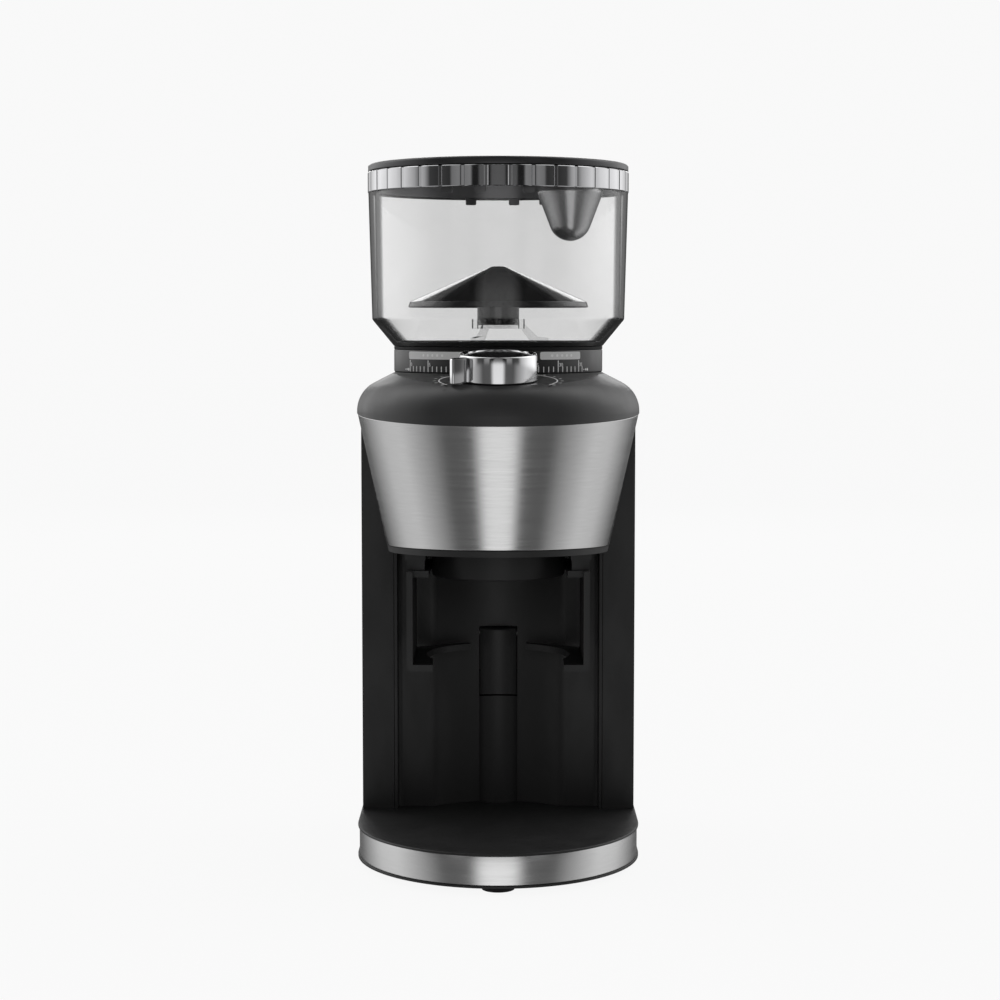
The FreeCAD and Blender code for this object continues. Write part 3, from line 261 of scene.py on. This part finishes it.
def principled(name, metallic=0.0, specular=0.5, coat=0.0):
    """New material with a principled shader: (material, tree, shader)."""
    material = bpy.data.materials.new(name)
    material.use_nodes = True
    tree = material.node_tree
    shader = tree.nodes["Principled BSDF"]
    shader.inputs["Metallic"].default_value = metallic
    shader.inputs["Specular IOR Level"].default_value = specular
    shader.inputs["IOR"].default_value = 1.5
    shader.inputs["Coat Weight"].default_value = coat
    shader.inputs["Coat Roughness"].default_value = 0.05
    return material, tree, shader


def moulded_plastic(name, shade, rough, grain=2600, depth=0.012, specular=0.5, warm=0.0):
    """Spark-textured moulding: fine grain, cloudy gloss, faint handling marks."""
    material, tree, shader = principled(name, specular=specular)
    cloud = add_texture(tree, "ShaderNodeTexNoise", 22, 4)
    dark = (shade * 0.86, shade * 0.86, shade * (0.88 - warm))
    light = (shade * 1.12, shade * 1.12, shade * (1.14 - warm))
    tree.links.new(tint(tree, cloud, dark, light), shader.inputs["Base Color"])
    marks = add_texture(tree, "ShaderNodeTexNoise", 90, 6, (1, 1, 0.35))
    tree.links.new(spread(tree, marks, rough - 0.04, rough + 0.06), shader.inputs["Roughness"])
    fine = add_texture(tree, "ShaderNodeTexNoise", grain, 2)
    add_bump(tree, shader, fine, depth)
    return material


def brushed_metal(name, shade, rough, stretch=(0.012, 0.012, 1), grain=9000):
    """Sheet metal with fine lines round the body and a few longer streaks."""
    material, tree, shader = principled(name, metallic=1.0)
    lines = add_texture(tree, "ShaderNodeTexNoise", grain, 3, stretch)
    broad = add_texture(tree, "ShaderNodeTexNoise", 700, 2, stretch)
    tree.links.new(tint(tree, lines, (shade * 0.95,) * 3, (shade * 1.05,) * 3),
                   shader.inputs["Base Color"])
    tree.links.new(spread(tree, broad, rough - 0.03, rough + 0.03), shader.inputs["Roughness"])
    add_bump(tree, shader, lines, 0.0012)
    return material


def polished(name, shade, rough, metallic, coat=0.0, smudge=40):
    """Polished surface with faint smudges that change its gloss."""
    material, tree, shader = principled(name, metallic=metallic, coat=coat)
    smears = add_texture(tree, "ShaderNodeTexNoise", smudge, 6)
    tree.links.new(tint(tree, smears, [c * 0.96 for c in shade], [c * 1.04 for c in shade]),
                   shader.inputs["Base Color"])
    tree.links.new(spread(tree, smears, rough, rough + 0.035), shader.inputs["Roughness"])
    return material


def clear_plastic(name):
    """Clear moulding: see-through face on, dark where the wall is seen edge on, glossy."""
    material = bpy.data.materials.new(name)
    material.use_nodes = True
    tree = material.node_tree
    tree.nodes.remove(tree.nodes["Principled BSDF"])
    facing = tree.nodes.new("ShaderNodeLayerWeight")
    facing.inputs["Blend"].default_value = 0.5
    side = facing.outputs["Facing"]
    wall = ramp_node(tree, [(0.0, 0.93), (0.2, 0.94), (0.45, 0.955), (0.66, 0.95), (0.76, 0.05),
                            (1.0, 0.03)])
    tree.links.new(side, wall.inputs[0])
    haze = add_texture(tree, "ShaderNodeTexNoise", 30, 3)
    through = tree.nodes.new("ShaderNodeBsdfTransparent")
    scaled = tree.nodes.new("ShaderNodeMix")
    scaled.data_type = "RGBA"
    scaled.blend_type = "MULTIPLY"
    scaled.inputs[0].default_value = 1.0
    tree.links.new(wall.outputs[0], scaled.inputs[6])
    tree.links.new(tint(tree, haze, (0.985,) * 3, (1.0,) * 3), scaled.inputs[7])
    tree.links.new(scaled.outputs[2], through.inputs[0])
    gloss = tree.nodes.new("ShaderNodeBsdfGlossy")
    gloss.inputs["Roughness"].default_value = 0.03
    power = math_node(tree, "POWER", side, 4.0)
    share = math_node(tree, "MULTIPLY_ADD", power, 0.45)
    share.node.inputs[2].default_value = 0.035
    mix = tree.nodes.new("ShaderNodeMixShader")
    tree.links.new(share, mix.inputs[0])
    tree.links.new(through.outputs[0], mix.inputs[1])
    tree.links.new(gloss.outputs[0], mix.inputs[2])
    tree.links.new(mix.outputs[0], tree.nodes["Material Output"].inputs[0])
    return material


def printed_ink(name, shade):
    """Matt print, slightly uneven."""
    material, tree, shader = principled(name, specular=0.3)
    speckle = add_texture(tree, "ShaderNodeTexNoise", 3000, 2)
    tree.links.new(tint(tree, speckle, (shade * 0.9,) * 3, (shade,) * 3),
                   shader.inputs["Base Color"])
    tree.links.new(spread(tree, speckle, 0.5, 0.6), shader.inputs["Roughness"])
    return material


def circuit(name):
    """Solder mask with copper runs showing through."""
    material, tree, shader = principled(name)
    runs = add_texture(tree, "ShaderNodeTexNoise", 240, 0, (1, 1, 0.2))
    tree.links.new(tint(tree, runs, (0.02, 0.13, 0.05), (0.05, 0.22, 0.10)),
                   shader.inputs["Base Color"])
    tree.links.new(spread(tree, runs, 0.3, 0.42), shader.inputs["Roughness"])
    return material


def make_materials():
    """Every look by name; most names are the record's material slots."""
    return {
        "black_plastic": moulded_plastic("black_plastic", 0.0105, 0.5),
        "satin_plastic": moulded_plastic("satin_plastic", 0.024, 0.36, grain=1900, depth=0.02),
        "brushed_steel": brushed_metal("brushed_steel", 0.66, 0.2),
        # lighter copy of the brushed steel for the base band: painted light, brighter than the head band's steel
        "base_steel_painted_light": brushed_metal("base_steel_painted_light", 0.74, 0.21),
        "bright_chrome": polished("bright_chrome", (0.72, 0.72, 0.73), 0.09, 1.0),
        "gloss_plastic": polished("gloss_plastic", (0.010, 0.010, 0.0105), 0.12, 0.0, coat=0.4),
        "lid_plastic": polished("lid_plastic", (0.05, 0.05, 0.052), 0.28, 0.7),
        # lighter copies of the lid plastic: painted light on the skirt, a painted reflection in the thumb well
        "skirt_plastic_painted_light": polished("skirt_plastic_painted_light", (0.19, 0.19, 0.195), 0.28, 0.85),
        "well_plastic_painted_reflection": polished("well_plastic_painted_reflection", (0.50, 0.50, 0.505), 0.2, 0.9),
        "clear_plastic": clear_plastic("clear_plastic"),
        "rim_plating": polished("rim_plating", (0.50, 0.50, 0.51), 0.06, 1.0),
        "rubber": moulded_plastic("rubber", 0.010, 0.75, grain=1200, depth=0.03, specular=0.3),
        "tool_steel": brushed_metal("tool_steel", 0.48, 0.3, (1, 1, 0.02), 4000),
        "motor_steel": brushed_metal("motor_steel", 0.36, 0.34, (1, 1, 0.05), 2500),
        "brass": polished("brass", (0.62, 0.42, 0.16), 0.22, 1.0),
        "inner_plastic": moulded_plastic("inner_plastic", 0.62, 0.5, 1500, 0.015, warm=0.05),
        "magnet": moulded_plastic("magnet", 0.08, 0.6, grain=900, depth=0.05),
        "circuit_board": circuit("circuit_board"),
        "ink": printed_ink("ink", 0.8),
        "label": printed_ink("label", 0.62),
    }


def wear_materials(looks):
    """Give every CAD node the look of the material slot that the record names for it."""
    slots = {part["node"]: part["material_slot"] for part in frame["record"]["subparts"]}
    for name, thing in frame["nodes"].items():
        material = looks[slots[name]]
        if not thing.data.materials:
            thing.data.materials.append(material)
        for place in thing.material_slots:
            place.material = material


# ---- shape helpers ---------------------------------------------------------------------------

def rounded(points, steps=5):
    """Closed outline; a point (a, b, radius) becomes an arc of that radius."""
    result = []
    count = len(points)
    for i, point in enumerate(points):
        here = Vector(point[:2])
        if len(point) < 3:
            result.append(tuple(here))
            continue
        before = Vector(points[i - 1][:2]) - here
        after = Vector(points[(i + 1) % count][:2]) - here
        half = before.angle(after) / 2
        reach = min(point[2] / math.tan(half), before.length * 0.49, after.length * 0.49)
        radius = reach * math.tan(half)
        middle = here + (before.normalized() + after.normalized()).normalized() * (
            radius / math.sin(half))
        start = here + before.normalized() * reach - middle
        end = here + after.normalized() * reach - middle
        for k in range(steps + 1):
            t = k / steps
            angle = start.angle(end)
            spoke = (start * math.sin((1 - t) * angle) + end * math.sin(t * angle)) / math.sin(
                angle)
            result.append(tuple(middle + spoke))
    return result


def new_object(name, shape, sharp_deg=35):
    """Mesh object from a bmesh, shaded smooth up to an angle."""
    mesh = bpy.data.meshes.new(name)
    bmesh.ops.remove_doubles(shape, verts=shape.verts, dist=1e-7)
    bmesh.ops.recalc_face_normals(shape, faces=shape.faces)
    shape.to_mesh(mesh)
    shape.free()
    for face in mesh.polygons:
        face.use_smooth = True
    mesh.set_sharp_from_angle(angle=math.radians(sharp_deg))
    thing = bpy.data.objects.new(name, mesh)
    bpy.context.scene.collection.objects.link(thing)
    return thing


def sweep(name, columns, section, closed=True, sharp_deg=35):
    """Skin a closed (reach, height) section along columns (x, y, nx, ny) set out in plan.

    section(column) gives the section's points; a reach r lands at (x + nx*r, y + ny*r)."""
    shape = bmesh.new()
    rows = []
    for column in columns:
        x, y, nx, ny = column[:4]
        rows.append([shape.verts.new(((x + nx * r) * MM, (y + ny * r) * MM, z * MM))
                     for r, z in section(column)])
    total = len(rows)
    for i in range(total if closed else total - 1):
        here, there = rows[i], rows[(i + 1) % total]
        for k in range(len(here)):
            corners = [here[k], there[k], there[(k + 1) % len(here)], here[(k + 1) % len(here)]]
            shape.faces.new(corners)
    if not closed:
        shape.faces.new(rows[0])
        shape.faces.new(rows[-1])
    return new_object(name, shape, sharp_deg)


def circle_columns(centre, steps=240):
    """Columns all round a vertical axis."""
    turns = [2 * math.pi * k / steps for k in range(steps)]
    return [(centre[0], centre[1], math.sin(a), -math.cos(a), a) for a in turns]


def lathe(name, points, centre, steps=240):
    """Turn a closed outline of (radius, height) or (radius, height, rounding) points."""
    outline = rounded(points)
    return sweep(name, circle_columns(centre, steps), lambda column: outline)


def carve(thing, tool, operation):
    """Boolean the tool into a piece and remove the tool."""
    change = thing.modifiers.new("carve", "BOOLEAN")
    change.operation = operation
    change.solver = "EXACT"
    change.object = tool
    bpy.context.view_layer.update()
    shaped = thing.evaluated_get(bpy.context.evaluated_depsgraph_get())
    mesh = bpy.data.meshes.new_from_object(shaped)
    thing.modifiers.clear()
    thing.data = mesh
    mesh.set_sharp_from_angle(angle=math.radians(35))
    bpy.data.objects.remove(tool)
    return thing


def settle(thing, body, slot, look, *nodes):
    """Paint a piece, put it on its body and let it stand for CAD nodes."""
    thing.data.materials.clear()
    thing.data.materials.append(LOOKS[look])
    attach(thing, body)
    if nodes:
        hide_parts(*nodes)
    return thing


def plate(shape, columns, bend, thick):
    """A thin closed plate. columns are (s, low, high); bend(s, height, lift) places a point."""
    rows = []
    for s, low, high in columns:
        rows.append([shape.verts.new(bend(s, low, 0.0) * MM),
                     shape.verts.new(bend(s, high, 0.0) * MM),
                     shape.verts.new(bend(s, high, thick) * MM),
                     shape.verts.new(bend(s, low, thick) * MM)])
    for here, there in zip(rows, rows[1:]):
        for k in range(4):
            shape.faces.new([here[k], here[(k + 1) % 4], there[(k + 1) % 4], there[k]])
    shape.faces.new(rows[0])
    shape.faces.new(rows[-1][::-1])


def pad_columns(left, right, low, high, corner, step):
    """Columns of a rounded rectangle, for plate()."""
    columns = []
    for k in range(6):
        t = 1 - math.cos(math.pi / 2 * k / 5)
        lift = corner * (1 - math.sin(math.pi / 2 * k / 5))
        columns.append((left + corner * t, low + lift, high - lift))
    middle = max(1, int((right - left - 2 * corner) / step))
    for k in range(1, middle):
        s = left + corner + (right - left - 2 * corner) * k / middle
        columns.append((s, low, high))
    columns += [(left + right - s, a, b) for s, a, b in columns[5::-1]]
    return columns


def digits(shape, text, size, bend, left, low, thick):
    """Numbers set in the built-in face, laid on a surface by bend()."""
    curve = bpy.data.curves.new("digits", "FONT")
    curve.body = text
    curve.size = size
    curve.extrude = thick / 2
    curve.resolution_u = 3
    made = bpy.data.objects.new("digits", curve)
    bpy.context.scene.collection.objects.link(made)
    bpy.context.view_layer.update()
    mesh = bpy.data.meshes.new_from_object(
        made.evaluated_get(bpy.context.evaluated_depsgraph_get()))
    for vertex in mesh.vertices:
        x, y, z = vertex.co
        vertex.co = bend(left + x, low + y, z + thick / 2) * MM
    shape.from_mesh(mesh)
    bpy.data.objects.remove(made)


# ---- body ------------------------------------------------------------------------------------

# axis of the half-round nose, radius of the rounded back corners
NOSE_Y = -19.2
BACK_CORNER = 40.0
BODY_RADIUS = half_width("base_band")
# slopes of the head: its seam with the cover, its chin, and its flank inwards per mm down
SEAM_SLOPE = 0.054
CHIN_SLOPE = 0.0415
FLANK_SLOPE = 0.2186
# height of the chin under the nose's axis
CHIN_Z = 171.7


def nose_columns(back, steps=72):
    """Columns from the left flank's back end round the nose to the right flank's back end."""
    flank = [back + (NOSE_Y - back) * k / 6 for k in range(6)]
    columns = [(0, y, -1, 0) for y in flank]
    for k in range(steps + 1):
        a = -math.pi / 2 + math.pi * k / steps
        columns.append((0, NOSE_Y, math.sin(a), -math.cos(a)))
    columns += [(0, y, 1, 0) for y in flank[::-1]]
    return columns


def outline_columns(back, corner, steps=72):
    """Columns all round the body: nose, flanks, back corners and back."""
    columns = nose_columns(back - corner, steps)
    shift = BODY_RADIUS - corner
    for side in (1, -1):
        arc = []
        for k in range(1, 17):
            a = math.pi / 2 * k / 16
            nx, ny = side * math.cos(a), math.sin(a)
            arc.append((side * shift - shift * nx, back - corner - shift * ny, nx, ny))
        columns += arc if side == 1 else arc[::-1]
        if side == 1:
            columns += [(shift * (1 - k / 4), back - BODY_RADIUS, 0, 1) for k in range(1, 8)]
    return columns


def head_band():
    """Tapered steel panel with rolled edges."""
    high = mm_box("head_band")[1]
    wide = half_width("head_band")

    def section(column):
        y = column[1] + column[3] * wide * 0.9
        top = high.z + min(0.0, SEAM_SLOPE * (y - NOSE_Y))
        foot = CHIN_Z - CHIN_SLOPE * (y - NOSE_Y)
        points = []
        for inset, z in rounded([(0, foot, 0.35), (0, top, 0.45), (1.0, top, 0.35),
                                 (1.0, foot, 0.3)], 4):
            points.append((wide - (high.z - z) * FLANK_SLOPE - inset, z))
        return points

    band = sweep("head_panel", nose_columns(high.y), section, closed=False)
    settle(band, "housing", "brushed_steel", "brushed_steel", "head_band")


def base_band():
    """Steel strip round the foot of the machine, edges rolled in."""
    low, high = mm_box("base_band")
    ring = rounded([(BODY_RADIUS, low.z, 0.4), (BODY_RADIUS, high.z, 0.4),
                    (BODY_RADIUS - 1, high.z, 0.3), (BODY_RADIUS - 1, low.z, 0.3)], 4)
    band = sweep("base_strip", outline_columns(high.y, BACK_CORNER), lambda column: ring)
    # the base band wears a lighter copy of the brushed steel: painted light
    settle(band, "housing", "brushed_steel", "base_steel_painted_light", "base_band")


# ---- hopper and lid --------------------------------------------------------------------------

low_hopper, high_hopper = mm_box("hopper_bowl")
AXIS = ((low_hopper.x + high_hopper.x) / 2, (low_hopper.y + high_hopper.y) / 2)


def hopper():
    """Clear bowl with its soft kink, flat floor and throat."""
    rim = half_width("hopper_bowl")
    floor = mm_box("hopper_gasket")[1].z + 0.1
    foot = half_width("hopper_gasket")
    kink = floor + 14.5
    step = mm_box("rim_band")[0].z - 0.1
    top, throat = high_hopper.z, 23.5
    bowl = lathe("hopper_glass", [
        (throat, low_hopper.z, 0.4), (throat, floor, 0.8), (foot, floor, 1.2),
        (rim - 1.8, kink, 2.4), (rim, step, 0.3), (rim - 1, step, 0.2),
        (rim - 1, top, 0.2), (rim - 3.4, top, 0.6), (rim - 4.3, kink + 0.8, 2.0),
        (foot - 1.6, floor + 2.5, 1.5), (throat - 2, floor + 2.5, 1.0),
        (throat - 2, low_hopper.z, 0.4)], AXIS)
    settle(bowl, "hopper", "clear_plastic", "clear_plastic", "hopper_bowl")
    seal = lathe("floor_seal", [
        (throat + 0.8, floor + 0.3), (foot - 1.9, floor + 0.3), (foot - 1.9, floor + 2.2),
        (throat + 0.8, floor + 2.2)], AXIS)
    settle(seal, "hopper", "rubber", "rubber")


def rim_band():
    """Bright ring round the rim: pillowed facets with a narrow groove between them."""
    low, high = mm_box("rim_band")
    outer = half_width("rim_band")
    inner = outer - 1.3
    facets, crown = 36, 0.44
    # depth of the surface across one facet; the crown's share of it faces outwards
    profile = [(0.0, 0.5), (0.03, 0.2), (0.14, 0.1), (0.28, 0.03), (crown, 0.0), (0.6, 0.03),
               (0.74, 0.1), (0.85, 0.2), (0.88, 0.5)]
    columns = []
    for k in range(facets):
        for share, deep in profile:
            a = 2 * math.pi * (k + share - crown) / facets
            columns.append((AXIS[0], AXIS[1], math.sin(a), -math.cos(a), deep))

    def section(column):
        edge = outer - column[4]
        return [(edge, low.z + 0.3), (edge, high.z - 0.3), (edge - 0.25, high.z),
                (inner, high.z), (inner, low.z), (edge - 0.25, low.z)]

    band = sweep("rim_facets", columns, section, sharp_deg=20)
    settle(band, "hopper", "clear_plastic", "rim_plating", "rim_band")


# thumb well in the lid: place in plan, radius above, radius of its rounded tip
WELL_AT = (38.4, -11.0)
WELL_RADIUS = 17.4
WELL_TIP = 11.4
LUG_TURNS_DEG = (-24, -8, 14, 156, 172, 194)


def lid():
    """Lid with a rounded edge, a skirt and a deep thumb well at the front right."""
    low, high = mm_box("hopper_lid")
    rim = half_width("hopper_lid")
    under = mm_box("rim_band")[1].z + 0.4
    skirt_low = mm_box("rim_band")[0].z + 0.7
    skirt = rim - 4.8
    disc = lathe("lid_cover", [
        (0, high.z - 2.4), (skirt - 2, high.z - 2.4, 0.5), (skirt - 2, skirt_low, 0.5),
        (skirt, skirt_low, 0.5), (skirt, under, 0.3), (rim, under, 0.5), (rim, high.z - 0.5, 1.3),
        (rim - 3.5, high.z, 3), (0, high.z)], AXIS)

    def well(name, inset, top):
        """Solid of the well's shape, smaller by the inset, from its tip up to a level."""
        bulb = []
        for k in range(8):
            a = math.radians(10 * k)
            bulb.append(((WELL_TIP - inset) * math.sin(a),
                         low.z + WELL_TIP - (WELL_TIP - inset) * math.cos(a)))
        side = WELL_RADIUS - inset
        return lathe(name, bulb + [(side, low.z + 25, 6), (side, top), (0, top)], WELL_AT, 96)

    carve(disc, well("well_outer", 0.0, high.z - 1), "UNION")
    carve(disc, well("well_inner", 1.8, high.z + 1), "DIFFERENCE")
    settle(disc, "lid", "lid_plastic", "lid_plastic", "hopper_lid")
    # the well and the skirt of the one moulding take lighter copies of the lid plastic: painted reflection in the
    # well, painted light on the skirt
    disc.data.materials.append(LOOKS["well_plastic_painted_reflection"])
    disc.data.materials.append(LOOKS["skirt_plastic_painted_light"])
    for face in disc.data.polygons:
        off = Vector(face.center[:2]) / MM - Vector(WELL_AT)
        level = face.center.z / MM
        if off.length < WELL_RADIUS + 0.2 and level < skirt_low:
            face.material_index = 1
        elif level < under:
            face.material_index = 2
    lugs = bmesh.new()
    for angle in LUG_TURNS_DEG:
        a = math.radians(180 + angle)
        turn = Matrix.Translation(Vector((AXIS[0], AXIS[1], 0)) * MM) @ Matrix.Rotation(a, 4, "Z")

        def bend(s, height, lift, turn=turn):
            return turn @ (Vector((s, -skirt + 1.6 - lift, height)) * MM) / MM

        plate(lugs, pad_columns(-3.0, 3.0, skirt_low - 3.8, skirt_low + 0.8, 0.8, 2), bend, 1.2)
    # the lugs take the skirt's lighter copy of the lid plastic: painted light
    settle(new_object("lid_lugs", lugs), "lid", "lid_plastic", "skirt_plastic_painted_light")


def bean_guard():
    """Umbrella over the throat with a hollowed rim and a hub below."""
    low, high = mm_box("bean_guard")
    reach = half_width("bean_guard")
    rim = low.z + 9.5
    hub, bore = 11.5, 9.1
    guard = lathe("bean_umbrella", [
        (0, high.z), (4, high.z - 0.5, 7), (reach - 1, rim + 3.2, 0.6), (reach, rim, 0.6),
        (reach - 2.2, rim, 0.4), (reach - 2.4, rim + 1.8, 0.4), (hub, high.z - 7.2, 2),
        (hub, low.z, 0.5), (bore, low.z, 0.5), (bore, high.z - 6.8, 1), (0, high.z - 4)], AXIS)
    settle(guard, "hopper", "gloss_plastic", "gloss_plastic", "bean_guard")


# ---- grind collar and its scale --------------------------------------------------------------

# the scale: turn per unit, place of its zero, number of its last unit
UNIT_DEG = 2.97
ZERO_DEG = -55.4
LAST_UNIT = 36
# left and right end of each pale label above the scale, in degrees round the collar
LABEL_SPANS = ((-56.5, -18.5), (-15.5, 19.5), (22.7, 49.8))
# how far printing stands proud
INK_THICK = 0.12


def grind_collar():
    """Ring that sets the grind, with its scale, its labels and a dark wiper under it."""
    low, high = mm_box("grind_collar")
    outer = half_width("grind_collar")
    bore = 40.1
    ring = lathe("collar_ring", [
        (outer, low.z, 0.4), (outer, high.z, 0.7), (outer - 3, high.z, 0.3),
        (outer - 3.4, high.z - 0.5, 0.3), (bore, high.z - 0.5, 0.4), (bore, low.z, 0.4)], AXIS)
    settle(ring, "collar", "satin_plastic", "satin_plastic", "grind_collar")
    wiper = lathe("collar_wiper", [
        (outer - 0.4, low.z - 0.35), (outer - 0.4, low.z - 0.08), (outer - 3, low.z - 0.08),
        (outer - 3, low.z - 0.35)], AXIS)
    settle(wiper, "housing", "rubber", "rubber")
    marks, labels = bmesh.new(), bmesh.new()

    def bend(s, height, lift):
        """Wrap a flat drawing round the collar; s is measured along its face."""
        a = s / outer
        r = outer - 0.05 + lift
        return Vector((AXIS[0] + r * math.sin(a), AXIS[1] - r * math.cos(a), height))

    def along(degrees):
        """Arc length round the collar."""
        return math.radians(degrees) * outer

    for unit in range(LAST_UNIT + 1):
        at = along(ZERO_DEG + unit * UNIT_DEG)
        tall = low.z + (6.6 if unit % 5 == 0 else 3.4)
        plate(marks, [(at - 0.24, low.z + 0.5, tall), (at + 0.24, low.z + 0.5, tall)], bend,
              INK_THICK)
        if unit % 5 == 0:
            digits(marks, str(unit), 2.7, bend, at + 0.5, low.z + 3.4, INK_THICK)
    # three dots that grow or shrink beyond each end of the scale
    for k in range(3):
        for start, way in ((ZERO_DEG, -1), (ZERO_DEG + LAST_UNIT * UNIT_DEG, 1)):
            at = along(start + way * (1.6 + 1.7 * k))
            grow = 0.35 + 0.2 * (k if way > 0 else 2 - k)
            plate(marks, pad_columns(at - grow, at + grow, low.z + 1.6 - grow,
                                     low.z + 1.6 + grow, grow * 0.95, 1), bend, INK_THICK)
    for left, right in LABEL_SPANS:
        a, b = along(left), along(right)
        plate(labels, pad_columns(a, b, high.z - 5.0, high.z - 0.9, 1.0, 1.2), bend, 0.10)
        # five dots where the real label has its word
        middle = (a + b) / 2
        for k in range(-2, 3):
            plate(marks, pad_columns(middle + k * 3.2 - 0.7, middle + k * 3.2 + 0.7,
                                     high.z - 3.6, high.z - 2.2, 0.66, 1), bend, 0.16)
    settle(new_object("collar_marks", marks), "collar", "satin_plastic", "ink")
    settle(new_object("collar_labels", labels), "collar", "satin_plastic", "label")


# ---- dial ------------------------------------------------------------------------------------

dial_joint = joint_named("dial_turn")
DIAL_AT = Vector(dial_joint["pos_m"])
DIAL_TILT = UP.rotation_difference(Vector(dial_joint["axis"])).to_matrix().to_4x4()
DIAL = Matrix.Translation(DIAL_AT) @ DIAL_TILT
# the knob's ring, and its pointer fin
DIAL_RADIUS = 20.3
FIN_REACH = 29
FIN_HALF = 1.65
FIN_TURN_DEG = 215


def on_dial(thing):
    """Stand a piece that was made about the world's origin on the sloping deck."""
    thing.data.transform(DIAL)
    return thing


def dial_knob():
    """Polished ring, slightly tapered, with its pointer fin."""
    r = DIAL_RADIUS
    ring = lathe("dial_ring", [
        (r - 3.3, 0.5, 0.2), (r, 0.5, 0.5), (r - 0.35, 14.3, 1.1), (r - 2.6, 14.1, 0.9),
        (r - 3.3, 13.2, 0.3)], (0, 0), 160)
    settle(on_dial(ring), "dial", "bright_chrome", "bright_chrome", "dial_knob")
    fin = bmesh.new()
    turn = Matrix.Rotation(math.radians(FIN_TURN_DEG), 4, "Z")
    outline = rounded([(r - 2, -FIN_HALF), (FIN_REACH, -FIN_HALF, 1.0),
                       (FIN_REACH, FIN_HALF, 1.0), (r - 2, FIN_HALF)], 4)
    rows = []
    for z, inset in ((0.5, 0.25), (0.75, 0.0), (12.4, 0.0), (13.1, 0.25), (13.4, 0.7)):
        centre = Vector(((r + 27) / 2, 0))
        ring_row = []
        for a, b in outline:
            flat = Vector((a, b))
            inward = (centre - flat)
            inward.x = max(-1, min(1, inward.x)) if a > r else 0
            inward.y = max(-1, min(1, inward.y))
            flat = flat + inward * inset
            ring_row.append(fin.verts.new(turn @ (Vector((flat.x, flat.y, z)) * MM)))
        rows.append(ring_row)
    for here, there in zip(rows, rows[1:]):
        for k in range(len(here)):
            fin.faces.new([here[k], here[(k + 1) % len(here)], there[(k + 1) % len(here)],
                           there[k]])
    fin.faces.new(rows[0][::-1])
    fin.faces.new(rows[-1])
    settle(on_dial(new_object("dial_fin", fin)), "dial", "bright_chrome", "bright_chrome")


def button_mark():
    """Pale ring and bar on the start button."""
    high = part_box("start_button")[1]
    marks = bmesh.new()
    top = (DIAL.inverted() @ Vector((0, DIAL_AT.y, high.z))).z / MM - 0.35

    def bend(s, radius, lift):
        return Vector((radius * math.sin(s), radius * math.cos(s), top + lift))

    plate(marks, [(math.radians(35 + 290 * k / 24), 1.5, 2.0) for k in range(25)], bend, 0.5)

    def straight(s, height, lift):
        return Vector((s, height, top + lift))

    plate(marks, [(-0.25, 0.6, 2.3), (0.25, 0.6, 2.3)], straight, 0.5)
    settle(on_dial(new_object("button_mark", marks)), "button", "gloss_plastic", "ink")


def dial_print():
    """Open ring and ticks printed on the deck round the dial."""
    marks = bmesh.new()

    def bend(s, radius, lift):
        """Lay a mark on the deck, sunk slightly so that no gap shows."""
        return Vector((radius * math.cos(s), radius * math.sin(s), lift - 0.04))

    for start, end in ((-31, 57), (123, 211)):
        turns = [math.radians(start + (end - start) * k / 30) for k in range(31)]
        plate(marks, [(a, 30.0, 30.7) for a in turns], bend, INK_THICK)
        for k in range(0, 31, 5):
            wide = math.radians(0.5)
            plate(marks, [(turns[k] - wide, 32.0, 33.6), (turns[k] + wide, 32.0, 33.6)], bend,
                  INK_THICK)

    settle(on_dial(new_object("deck_marks", marks)), "housing", "satin_plastic", "ink")


# ---- build -----------------------------------------------------------------------------------

bpy.context.scene.view_settings.view_transform = "Standard"
add_camera()
add_world()
add_floor()
add_area("left_softbox", (-0.9, 0.3, 0.95), (0, 0, 0.25), (0.5, 0.9), 1.0)
add_area("right_softbox", (0.9, 0.3, 0.95), (0, 0, 0.25), (0.5, 0.9), 1.0)
add_area("rear_window", (0, 2.0, 0.85), (0, 0, 0.26), (1.4, 0.5), 5.0)
add_area("front_fill", (0, -1.6, 0.7), (0, 0, 0.27), (1.0, 0.6), 7.0, mirrored=False)
LOOKS = make_materials()
wear_materials(LOOKS)
head_band()
base_band()
hopper()
rim_band()
lid()
bean_guard()
grind_collar()
dial_knob()
button_mark()
dial_print()
